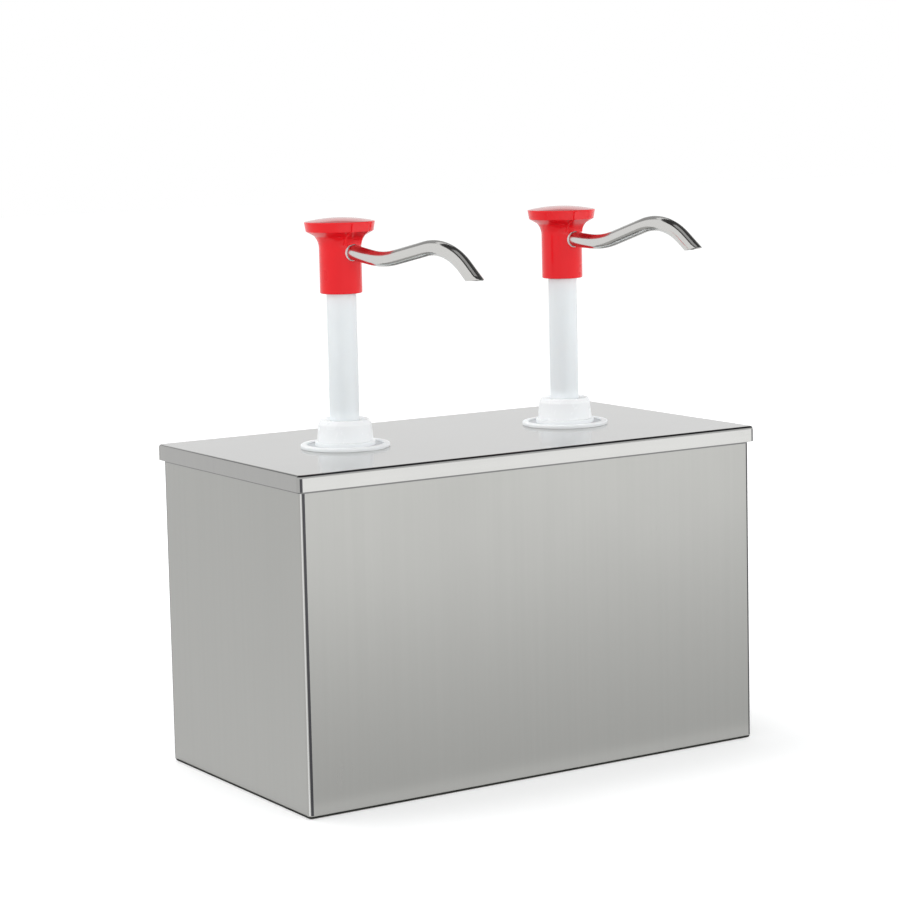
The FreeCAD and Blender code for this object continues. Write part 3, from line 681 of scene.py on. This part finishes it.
class BuildLid(bpy.types.Operator):
    """Folded steel lid with a skirt and a round hole for each pump"""

    bl_idname = "syrup_station.lid"
    bl_label = "Lid"

    def execute(self, context):
        sizes, finish = station().cabinet, station().finish
        low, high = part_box("lid")
        bend, sheet, rounding = sizes.lid_bend, sizes.lid_sheet, sizes.edge_round
        core = (high.x - sizes.lid_corner, high.y - sizes.lid_corner)
        bm = bmesh.new()
        top_ring = ring(bm, core, sizes.lid_corner - bend, high.z)
        profile = arc((bend, high.z - bend), bend, 90, 180, 10)[1:]
        profile += softened([(0.0, high.z - bend, 0), (0.0, low.z, rounding), (sheet, low.z, rounding),
                             (sheet, high.z - bend, 0)])[1:]
        profile += arc((bend, high.z - bend), bend - sheet, 180, 90, 10)[1:]
        under_ring = draw_wall(bm, top_ring, core, sizes.lid_corner, profile)
        rims, under_rims = [], []
        for side in SIDES:
            circle = bmesh.ops.create_circle(bm, segments=96, radius=sizes.lid_hole)["verts"]
            bmesh.ops.translate(bm, vec=pump_axis(side), verts=circle)
            rim = edges_at(circle)
            made = bmesh.ops.extrude_edge_only(bm, edges=rim)["geom"]
            bmesh.ops.translate(bm, vec=(0, 0, -sheet), verts=verts_in(made))
            rims += rim
            under_rims += [edge for edge in edges_in(made) if edge.is_boundary and edge not in rim]
        for edges in (top_ring + rims, under_ring + under_rims):
            bmesh.ops.triangle_fill(bm, use_beauty=True, edges=edges)
        turn_faces_outward(bm)
        for face in bm.faces:
            across, forward, upward = face.normal
            # Lid corners take corner_part's painted dark reflection; their other half keeps the skirt's
            # colour.
            face.material_index = SECOND if abs(across) > 0.7 else corner_part(face)
            if faces_inward(face, (low + high) / 2):
                face.material_index = INSIDE
            # Painted dark reflection along the lower part of the front bend.
            elif forward < -0.2 and 0.45 < upward < 0.95:
                face.material_index = PAINTED_DARK
            # The top takes a lighter steel than the skirt: painted light.
            elif upward > 0.9:
                face.material_index = LAST
        looks = (("Lid steel", finish.lid_steel, finish.lid_gloss, LENGTHWISE_GRAIN),
                 ("Lid end steel", finish.lid_steel, finish.lid_gloss, UPRIGHT_GRAIN),
                 ("Dull lid edge", finish.dull, 0.30, UPRIGHT_GRAIN),
                 ("Lid underside", finish.inner_steel, 0.26, LENGTHWISE_GRAIN),
                 ("Lid top steel", finish.lid_top_painted_light, finish.lid_gloss, LENGTHWISE_GRAIN))
        new_piece(bm, "lid_cover", "lid", ["lid"], [sheet_steel(*look) for look in looks])
        return {"FINISHED"}


class DressPans(bpy.types.Operator):
    """Two deep drawn pans"""

    bl_idname = "syrup_station.pans"
    bl_label = "Pans"

    def execute(self, context):
        dress(["pan"], drawn_steel("Pan steel", station().finish.pan_steel, 0.33))
        return {"FINISHED"}


class BuildBarrels(bpy.types.Operator):
    """Moulded barrels with a base flange, a ring groove, a screw thread and a spigot"""

    bl_idname = "syrup_station.barrels"
    bl_label = "Barrels"

    def execute(self, context):
        sizes, finish = station().pump, station().finish
        plastic = moulded("Flange plastic", finish.flange_white, 0.34, soft=0.08)
        groove_shade = moulded("Groove plastic", finish.groove_painted_shade, 0.45)
        root = sizes.thread - sizes.thread_depth
        foot = -sizes.floor_drop - sizes.floor
        groove_foot = sizes.flange_height - sizes.groove_depth
        spigot_foot = foot - sizes.spigot_length
        sharp, fine, middling, small, broad = 0, 0.0003, 0.0005, 0.0006, 0.0011
        outline = softened([
            (sizes.flange, 0.0, fine), (sizes.flange, sizes.flange_height, broad),
            (sizes.groove, sizes.flange_height, small), (sizes.groove, groove_foot, middling),
            (sizes.boss, groove_foot, middling), (sizes.boss, sizes.boss_height, middling),
            (sizes.neck, sizes.boss_height, sharp), (sizes.neck, sizes.neck_top, fine),
            (sizes.bore, sizes.neck_top, fine), (sizes.bore, -sizes.floor_drop, sharp),
            (sizes.valve_mouth, -sizes.floor_drop, sharp),
            (sizes.valve_hole, -sizes.floor_drop - sizes.valve_depth, sharp),
            (sizes.valve_hole, spigot_foot, fine), (sizes.spigot, spigot_foot, small),
            (sizes.spigot, foot, small), (sizes.barrel, foot, small),
            (sizes.barrel, -sizes.thread_length, fine), (root, -sizes.thread_length, fine),
            (root, 0.0, sharp)])
        for side in SIDES:
            bm = bmesh.new()
            revolve(bm, outline)
            wind_thread(bm, root, sizes.thread_depth, sizes.thread_pitch,
                        sizes.thread_pitch - sizes.thread_length, -sizes.thread_pitch)
            # The groove's floor gets the grey colour: painted shade in the recess.
            for face in bm.faces:
                middle = face.calc_center_median()
                if abs(middle.z - groove_foot) < fine and sizes.boss < middle.xy.length < sizes.groove:
                    face.material_index = 1
            place_on_pump(bm, side)
            new_piece(bm, side + "_barrel_moulding", "lid", [side + "_barrel"],
                      [plastic, groove_shade])
        return {"FINISHED"}


class BuildCollars(bpy.types.Operator):
    """Collars over the barrels' necks, dished round the stem"""

    bl_idname = "syrup_station.collars"
    bl_label = "Collars"

    def execute(self, context):
        sizes, finish = station().pump, station().finish
        plastic = moulded("White plastic", finish.white, 0.26, soft=0.08)
        hole_chamfer = 0.0007
        inner = sizes.neck + CLEARANCE
        top = sizes.boss_height + sizes.collar_height
        ceiling = top - sizes.collar_plate
        outline = softened([
            (inner, sizes.boss_height, 0), (sizes.collar, sizes.boss_height, 0.0004),
            (sizes.collar_shoulder, top - sizes.collar_band, 0.0012), (sizes.collar_crown, top, 0.0010),
            (sizes.collar_dish, top, 0.0003), (sizes.stem_hole, top - hole_chamfer, 0.00025),
            (sizes.stem_hole, ceiling, 0), (inner, ceiling, 0)])
        for side in SIDES:
            bm = bmesh.new()
            revolve(bm, outline)
            place_on_pump(bm, side)
            new_piece(bm, side + "_collar_moulding", "lid", [side + "_collar"], [plastic])
        return {"FINISHED"}


class DressStems(bpy.types.Operator):
    """Pale stems between the barrels and the press heads"""

    bl_idname = "syrup_station.stems"
    bl_label = "Stems"

    def execute(self, context):
        dress(["stem"], moulded("Stem plastic", station().finish.stem, 0.33, soft=0.15))
        return {"FINISHED"}


def head_web(sizes, spout_level):
    """Web over the spout: flat in front, following the cap's side and underside down to the spout."""
    flush, below_rim = 0.0003, 0.0009
    foot = (sizes.neck + sizes.web_reach, spout_level + sizes.spout)
    shelf = (sizes.flare + sizes.web_reach, sizes.cap_foot)
    top = sizes.rim - below_rim
    outline = [(sizes.passage, top), (sizes.cap - flush, top), (sizes.side + flush / 2, sizes.side_foot)]
    outline += sweep(foot, shelf, 90, 8)[::-1] + [(sizes.passage, foot[1])]
    bm = bmesh.new()
    face = bm.faces.new([bm.verts.new((across, -sizes.web / 2, height)) for across, height in outline])
    made = bmesh.ops.extrude_face_region(bm, geom=[face])["geom"]
    bmesh.ops.translate(bm, vec=(0, sizes.web, 0), verts=verts_in(made))
    turn_faces_outward(bm)
    edges = [edge for edge in bm.edges
             if abs(edge.verts[0].co.y - edge.verts[1].co.y) < MERGE_DISTANCE
             and min(vert.co.x for vert in edge.verts) > sizes.neck]
    bmesh.ops.bevel(bm, geom=edges, affect="EDGES", offset=0.0005, offset_type="OFFSET", segments=3,
                    profile=0.5, material=-1, clamp_overlap=True)
    return loose_object(bm, "web")


def cutter(radius, start, end, level=None):
    """Round cutter between two heights, or along +X at one height."""
    bm = bmesh.new()
    bmesh.ops.create_cone(bm, cap_ends=True, segments=64 if level is None else 48, radius1=radius,
                          radius2=radius, depth=end - start)
    bmesh.ops.translate(bm, vec=(0, 0, (start + end) / 2), verts=bm.verts[:])
    if level is not None:
        quarter_turn(bm, bm.verts[:])
        bmesh.ops.translate(bm, vec=(0, 0, level), verts=bm.verts[:])
    return loose_object(bm, "cutter")


class BuildHeads(bpy.types.Operator):
    """Press heads with a flared neck, a coned cap, a domed top and a web over the spout"""

    bl_idname = "syrup_station.heads"
    bl_label = "Press heads"

    def execute(self, context):
        sizes, finish = station().head, station().finish
        plastic = moulded("Red plastic", finish.red, 0.30, peel=420.0, scuff=0.03, skin_gloss=0.6)
        # The dome's darker red is painted shade on its upward face.
        dome_painted_shade = moulded("Red dome", finish.red_dome_painted_shade, 0.26, peel=420.0, scuff=0.05, skin_gloss=2.0)
        spout_level = sizes.cap_foot - sizes.spout_drop
        rim, rim_inside = sizes.rim, (sizes.cap * 0.9, sizes.rim + 0.00055)
        dome_top, dome_foot = (0.0, rim + sizes.dome), (sizes.cap * 0.93, rim + 0.0004)
        neck = [(0.0, sizes.foot, 0), (sizes.neck, sizes.foot, 0.0008), (sizes.neck, sizes.flare_foot, 0)]
        cap = [(sizes.flare, sizes.cap_foot, 0), (sizes.side, sizes.side_foot, 0.0004),
               (sizes.cap, rim, 0.0006), (*rim_inside, 0)]
        outline = [(0.0, sizes.foot)] + softened(neck)[1:-1]
        outline += sweep((sizes.neck, sizes.flare_foot), (sizes.flare, sizes.cap_foot), 90, 10)
        outline += softened(cap)[1:-1] + sweep(dome_top, dome_foot, 0, 14)[::-1]
        socket_top = sizes.foot + sizes.socket_depth
        seat = sizes.spout + 2 * CLEARANCE + sizes.ring_width
        below, overlap, beyond = 0.005, 0.002, 0.02
        for side in SIDES:
            bm = bmesh.new()
            revolve(bm, outline, closed=False)
            bm = combined(bm, head_web(sizes, spout_level), "UNION")
            for bore in ((sizes.socket, sizes.foot - below, socket_top),
                         (sizes.passage, socket_top - overlap, spout_level + sizes.spout),
                         (sizes.spout + CLEARANCE, 0.0, beyond, spout_level),
                         (seat, sizes.neck - sizes.ring_depth, beyond, spout_level)):
                bm = combined(bm, cutter(*bore), "DIFFERENCE")
            bmesh.ops.remove_doubles(bm, verts=bm.verts[:], dist=MERGE_DISTANCE)
            # Faces above the rim, the dome, take the darker red: painted shade.
            for face in bm.faces:
                if face.calc_center_median().z > rim:
                    face.material_index = 1
            place_on_pump(bm, side, getattr(sizes, side + "_turn"))
            new_piece(bm, side + "_press_head", side + "_plunger", [side + "_head"],
                      [plastic, dome_painted_shade], 28.0)
        return {"FINISHED"}


def carry(bm, geom, place, heading, length=0.0, radius=0.0, turned_by=0.0):
    """Carry a tube's end ring along a straight run or a bend in the XZ plane."""
    straight_step, bend_step = 0.004, 0.0025
    if length:
        steps = max(1, int(length / straight_step))
        move = Vector((math.cos(heading), 0, math.sin(heading))) * (length / steps)
        return spun(bm, geom, 0, steps, move, axis=(0, 1, 0)), place + move * steps, heading
    side = math.copysign(1, turned_by)
    pivot = place + Vector((-math.sin(heading), 0, math.cos(heading))) * (side * radius)
    steps = max(4, int(abs(turned_by) * radius / bend_step))
    last = spun(bm, geom, -turned_by, steps, pivot=pivot, axis=(0, 1, 0))
    return last, Matrix.Rotation(-turned_by, 3, "Y") @ (place - pivot) + pivot, heading + turned_by


def bent_tube(sizes, droop, neck_end, level):
    """Outer skin of a spout, from inside its head to a mouth that is cut nearly level."""
    bm = bmesh.new()
    circle = bmesh.ops.create_circle(bm, segments=40, radius=sizes.spout)["verts"]
    quarter_turn(bm, circle)
    place, heading = Vector((sizes.passage, 0, level)), 0.0
    bmesh.ops.translate(bm, vec=place, verts=circle)
    geom = circle + edges_at(circle)
    past_ring, tip_reach = 0.0004, 0.02
    for stretch in ({"length": neck_end + past_ring - sizes.passage},
                    {"radius": sizes.entry_radius, "turned_by": -droop}, {"length": sizes.run_in},
                    {"radius": sizes.dip_radius, "turned_by": sizes.dip_angle}, {"length": sizes.rise},
                    {"radius": sizes.crest_radius, "turned_by": -sizes.crest_angle},
                    {"length": sizes.tip_length}):
        geom, place, heading = carry(bm, geom, place, heading, **stretch)
    carry(bm, geom, place, heading, length=2 * sizes.spout)
    near = place.x - tip_reach
    tip = [vert for vert in bm.verts if vert.co.x > near]
    tip += [item for kind in (bm.edges, bm.faces) for item in kind
            if min(vert.co.x for vert in item.verts) > near]
    slope = sizes.mouth_slope - droop
    bmesh.ops.bisect_plane(bm, geom=tip, plane_co=place, plane_no=(-math.sin(slope), 0, math.cos(slope)),
                           clear_inner=True)
    turn_faces_outward(bm)
    return bm


class BuildSpouts(bpy.types.Operator):
    """Bent spouts cut off nearly level, and the soft rings where they enter the heads"""

    bl_idname = "syrup_station.spouts"
    bl_label = "Spouts"

    def execute(self, context):
        sizes, finish = station().head, station().finish
        steel = polished_steel("Spout steel", finish.spout_steel, 0.09)
        soft = rubbery("Spout ring silicone", finish.silicone, 0.30, 1.05)
        level = sizes.cap_foot - sizes.spout_drop
        neck_end = sizes.neck + sizes.ring_proud
        start, inner = sizes.neck - sizes.ring_depth, sizes.spout + CLEARANCE
        outer = inner + sizes.ring_width
        ring_outline = softened([(inner, start, 0), (outer, start, 0), (outer, neck_end, 0.0003),
                                 (inner, neck_end, 0.0002)])
        for side in SIDES:
            body, turned_by = side + "_plunger", getattr(sizes, side + "_turn")
            bm = bent_tube(sizes, getattr(sizes, side + "_droop"), neck_end, level)
            place_on_pump(bm, side, turned_by)
            tube = new_piece(bm, side + "_spout_tube", body, [side + "_spout"], [steel],
                             60.0)
            tube.modifiers.clear()
            wall = tube.modifiers.new("Wall", "SOLIDIFY")
            wall.thickness = sizes.spout_wall
            wall.offset = -1.0
            rim = tube.modifiers.new("Deburred rims", "BEVEL")
            rim.width = 0.00022
            rim.segments = 3
            rim.limit_method = "ANGLE"
            rim.angle_limit = math.radians(50)

            bm = bmesh.new()
            revolve(bm, ring_outline, steps=48)
            quarter_turn(bm, bm.verts[:])
            bmesh.ops.translate(bm, vec=(0, 0, level), verts=bm.verts[:])
            place_on_pump(bm, side, turned_by)
            new_piece(bm, side + "_spout_ring", body, [side + "_spout_seal"], [soft])
        return {"FINISHED"}


class BuildSprings(bpy.types.Operator):
    """Return springs with close end turns, made at their free length"""

    bl_idname = "syrup_station.springs"
    bl_label = "Return springs"

    def execute(self, context):
        sizes = station().pump
        steel = polished_steel("Spring steel", station().finish.spring_steel, 0.24, 900.0)
        for side in SIDES:
            low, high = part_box(side + "_spring")
            free_length = high.z - low.z
            open_climb = free_length - sizes.spring_wire - 2 * sizes.spring_end
            bm = bmesh.new()
            wire = bmesh.ops.create_circle(bm, segments=12, radius=sizes.spring_wire / 2)["verts"]
            quarter_turn(bm, wire, "X")
            bmesh.ops.translate(bm, vec=(sizes.spring, 0, low.z + sizes.spring_wire / 2), verts=wire)
            first = edges_at(wire)
            geom = wire + first
            close, steps_per_turn = (1, sizes.spring_end), 36
            for turns, climb in (close, (sizes.spring_turns, open_climb), close):
                steps = steps_per_turn * turns
                geom = spun(bm, geom, 2 * math.pi * turns, steps, (0, 0, climb / steps))
            for loop in (first, edges_in(geom)):
                bmesh.ops.edgeloop_fill(bm, edges=loop)
            turn_faces_outward(bm)
            axis = pump_axis(side)
            bmesh.ops.translate(bm, vec=(axis.x, axis.y, 0), verts=bm.verts[:])
            spring = new_piece(bm, side + "_return_spring", side + "_spring_set", [side + "_spring"],
                               [steel], 50.0)
            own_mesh(spring)
        return {"FINISHED"}


class DressInnerWorks(bpy.types.Operator):
    """Nuts, gaskets, seals, tubes, pistons and valves"""

    bl_idname = "syrup_station.inner_works"
    bl_label = "Inner works"

    def execute(self, context):
        finish = station().finish
        groups = {
            moulded("Nut plastic", finish.flange_white, 0.38): ["lock_nut"],
            moulded("Natural plastic", finish.natural, 0.36, soft=0.1):
                ["gland_bush", "inlet_cage", "outlet_cage", "piston", "spring_washer"],
            moulded("Hose plastic", finish.hose, 0.22, see_through=0.45): ["suction_tube"],
            rubbery("Seal rubber", finish.rubber, 0.62): ["gasket", "stem_seal", "piston_ring"],
            polished_steel("Ball steel", (0.62, 0.62, 0.61), 0.08): ["inlet_ball", "outlet_ball"],
        }
        for material, nodes in groups.items():
            dress(nodes, material)
        return {"FINISHED"}


# Studio


def emptied_tree(owner):
    """Empty node tree of a world or a material."""
    owner.use_nodes = True
    owner.node_tree.nodes.clear()
    return owner.node_tree


def glow(tree, strength):
    """White light that a sheet gives off."""
    return add(tree, "Emission", {"Color": WHITE, "Strength": strength})


def blend(tree, share_out, first, second):
    """Blend of two shaders: the first at 0 and the second at 1."""
    return add(tree, "MixShader", {0: share_out, 1: first, 2: second})


def seen_or_mirrored(tree):
    """1 for rays from the camera, from a mirror or through glass, and 0 for the rest."""
    rays = add(tree, "LightPath", {}).node.outputs
    both = sum_of(tree, rays["Is Camera Ray"], rays["Is Glossy Ray"])
    return sum_of(tree, both, rays["Is Transmission Ray"], clamp=True)


def make_world(settings):
    """White surroundings in every mirror, and a softer light on the station, weaker from straight above."""
    world = bpy.data.worlds.new("Studio")
    bpy.context.scene.world = world
    tree = emptied_tree(world)
    white = add(tree, "Background", {"Color": WHITE, "Strength": 1.0})
    upward = add(tree, "SeparateXYZ", {"Vector": add(tree, "TexCoord", {}, "Generated")}, "Z")
    strength = spread(tree, upward, settings.sky, settings.zenith, 0.0, 1.0)
    light = add(tree, "Background", {"Color": (0.985, 0.995, 1, 1), "Strength": strength})
    add(tree, "OutputWorld", {"Surface": blend(tree, seen_or_mirrored(tree), light, white)})


def studio_sheet(bm, name):
    """Sheet of the studio, made of a mesh."""
    sheet = loose_object(bm, name)
    return sheet


def flat_sheet(name, size_x, size_y, place, normal):
    """Flat sheet of the studio, facing a direction."""
    bm = bmesh.new()
    bmesh.ops.create_grid(bm, x_segments=1, y_segments=1, size=0.5)
    bmesh.ops.scale(bm, vec=(size_x, size_y, 1), verts=bm.verts[:])
    turned = Vector(normal).to_track_quat("Z", "Y").to_matrix()
    bmesh.ops.rotate(bm, cent=(0, 0, 0), matrix=turned, verts=bm.verts[:])
    bmesh.ops.translate(bm, vec=place, verts=bm.verts[:])
    return studio_sheet(bm, name)


def sky_sheet(name, foot, top, start, end):
    """Curved sheet on one side of the studio, between two heights and two angles from +X in degrees."""
    distance, way = 3.0, math.radians(start)
    across, forward = distance * math.cos(way), distance * math.sin(way)
    bm = bmesh.new()
    verts = [bm.verts.new((across, forward, height)) for height in (foot, top)]
    spun(bm, verts + [bm.edges.new(verts)], math.radians(end - start), 24)
    return studio_sheet(bm, name)


def contact_shadow_sheet(name, width, level):
    """Flat frame of a sheet on the floor round the cabinet's foot, which mirrors see as a painted contact
    shadow.
    """
    sizes = station().cabinet
    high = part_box("housing")[1]
    core = (high.x - sizes.corner, high.y - sizes.corner)
    bm = bmesh.new()
    outside = ring(bm, core, sizes.corner + width, level)
    draw_wall(bm, outside, core, sizes.corner, [(sizes.base_bend / 3, level)])
    return studio_sheet(bm, name)


def make_floor(settings):
    """Pale floor that shows white to the camera and in mirrors, and keeps the station's soft shadow."""
    floor = flat_sheet("floor", 16, 16, (0, 0, 0), (0, 0, 1))
    material = bpy.data.materials.new("Floor")
    tree = emptied_tree(material)
    shade = settings.floor_shade
    plain = add(tree, "BsdfDiffuse", {"Color": (0.8, 0.8, 0.8, 1)})
    shown = add(tree, "BsdfDiffuse", {"Color": (shade, shade, shade, 1)})
    place = add(tree, "TexCoord", {}, "Object")
    distance = add(tree, "VectorMath", {0: place}, "Value", operation="LENGTH")
    # The floor's glow is weaker near the station than far off: a painted broad shade round it, on top of the
    # shadow it really gets.
    near, far = 0.45, 1.3
    strength = spread(tree, distance, settings.floor_glow, settings.far_glow, near, far)
    lit = add(tree, "AddShader", {0: shown, 1: glow(tree, strength)})
    in_mirror = add(tree, "LightPath", {}, "Is Glossy Ray")
    bright = blend(tree, in_mirror, lit, glow(tree, 1.0))
    add(tree, "OutputMaterial", {"Surface": blend(tree, seen_or_mirrored(tree), plain, bright)})
    floor.data.materials.append(material)


def make_card(card, tone, rise=0.0, brightest=1.0):
    """Make a sheet a card that only mirrors see. It may brighten with the square of its depth along Y."""
    material = bpy.data.materials.new(card.name)
    tree = emptied_tree(material)
    forward = add(tree, "SeparateXYZ", {"Vector": add(tree, "TexCoord", {}, "Object")}, "Y")
    squared = add(tree, "Math", {0: forward, 1: 2.0}, operation="POWER")
    rising = add(tree, "Math", {0: squared, 1: rise, 2: tone}, operation="MULTIPLY_ADD")
    strength = add(tree, "Math", {0: rising, 1: brightest}, operation="MINIMUM")
    add(tree, "OutputMaterial", {"Surface": glow(tree, strength)})
    card.data.materials.append(material)
    for ray in ("camera", "diffuse", "transmission", "volume_scatter", "shadow"):
        setattr(card, "visible_" + ray, False)


def make_lamp(name, place, width, height, power):
    """Softbox that points at the station and isn't seen in mirrors."""
    lamp = bpy.data.lights.new(name, "AREA")
    lamp.shape = "RECTANGLE"
    lamp.size, lamp.size_y, lamp.energy = width, height, power
    holder = linked(name, lamp)
    holder.location = place
    holder.rotation_euler = (Vector((0.0, 0.0, 0.2)) - Vector(place)).to_track_quat("-Z", "Y").to_euler()
    holder.visible_glossy = False


def make_camera():
    """Camera at the photograph's angle."""
    lens = bpy.data.cameras.new("Camera")
    lens.sensor_width = 36.0
    lens.lens = 107.968
    lens.shift_x = -0.01944
    lens.shift_y = -0.05849
    camera = linked("Camera", lens)
    heading, tilt, roll = (math.radians(angle) for angle in (-32.506, 83.313, -1.257))
    camera.matrix_world = (Matrix.Translation((-1.02201, -1.61686, 0.48139))
                           @ Matrix.Rotation(heading, 4, "Z") @ Matrix.Rotation(tilt, 4, "X")
                           @ Matrix.Rotation(roll, 4, "Z"))
    bpy.context.scene.camera = camera


class BuildStage(bpy.types.Operator):
    """White floor and surroundings, softboxes, mirror cards and the camera"""

    bl_idname = "syrup_station.stage"
    bl_label = "Stage"

    def execute(self, context):
        settings = station().stage
        make_world(settings)
        make_floor(settings)
        # Softboxes: place, width, height and power
        make_lamp("Top softbox", (-0.25, 0.5, 2.6), 0.8, 0.8, 16.0)
        make_lamp("Left softbox", (-2.2, 1.2, 1.0), 2.0, 1.6, 13.0)
        make_lamp("Front softbox", (-0.6, -2.6, 0.9), 1.6, 1.2, 9.0)
        make_lamp("Right softbox", (2.2, -1.2, 1.0), 1.4, 1.2, 11.0)

        # Cards: a sheet, and how bright mirrors show it where the surroundings are 1
        up, down = (0, 0, 1), (0, 0, -1)
        make_card(flat_sheet("Front bounce card", 2.6, 2.1, (0.6, -1.17, 0.004), up), 0.83, 0.70, 2.0)
        make_card(sky_sheet("Dark sky card", 1.75, 5.8, -38.0, 47.0), 0.08)
        make_card(sky_sheet("Grey sky card", 1.65, 3.6, 47.0, 115.0), 0.40)
        make_card(sky_sheet("Haze card", 0.1, 1.65, 35.0, 80.0), 0.88)
        make_card(flat_sheet("Ceiling card", 1.5, 1.5, (0.0, 0.0, 3.3), down), 0.45)
        make_card(flat_sheet("Dark ceiling card", 3.8, 3.8, (0.2, 0.2, 3.35), down), 0.05)
        # Near-black frame that only mirrors see, standing in for the floor's shade at the cabinet's foot:
        # painted shadow.
        make_card(contact_shadow_sheet("Contact card", 0.003, 0.0005), 0.03)
        make_camera()
        context.scene.view_settings.view_transform = "Standard"
        return {"FINISHED"}


class StationPanel(bpy.types.Panel):
    """Panel that builds the station piece by piece"""

    bl_idname = "VIEW3D_PT_syrup_station"
    bl_label = "Syrup station"
    bl_space_type = "VIEW_3D"
    bl_region_type = "UI"
    bl_category = "Syrup station"

    def draw(self, context):
        for operator in OPERATORS:
            self.layout.operator(operator.bl_idname)
        for name in ("cabinet", "pump", "head", "finish", "stage"):
            group = getattr(context.scene.syrup_station, name)
            box = self.layout.box()
            for setting in group.__annotations__:
                box.prop(group, setting)


OPERATORS = (BuildCabinet, BuildLid, DressPans, BuildBarrels, BuildCollars, DressStems, BuildHeads,
             BuildSpouts, BuildSprings, DressInnerWorks, BuildStage)
GROUPS = (CabinetSizes, PumpSizes, HeadSizes, Finishes, StageSettings, StationSettings)


def register():
    """Make the settings, operators and panel known."""
    for made in GROUPS + OPERATORS + (StationPanel,):
        bpy.utils.register_class(made)
    bpy.types.Scene.syrup_station = bpy.props.PointerProperty(type=StationSettings)


def unregister():
    """Take the settings, operators and panel away."""
    del bpy.types.Scene.syrup_station
    for made in reversed(GROUPS + OPERATORS + (StationPanel,)):
        bpy.utils.unregister_class(made)


def main():
    """Build the whole station."""
    register()
    for operator in OPERATORS:
        group, name = operator.bl_idname.split(".")
        getattr(getattr(bpy.ops, group), name)()


if __name__ == "__main__":
    main()
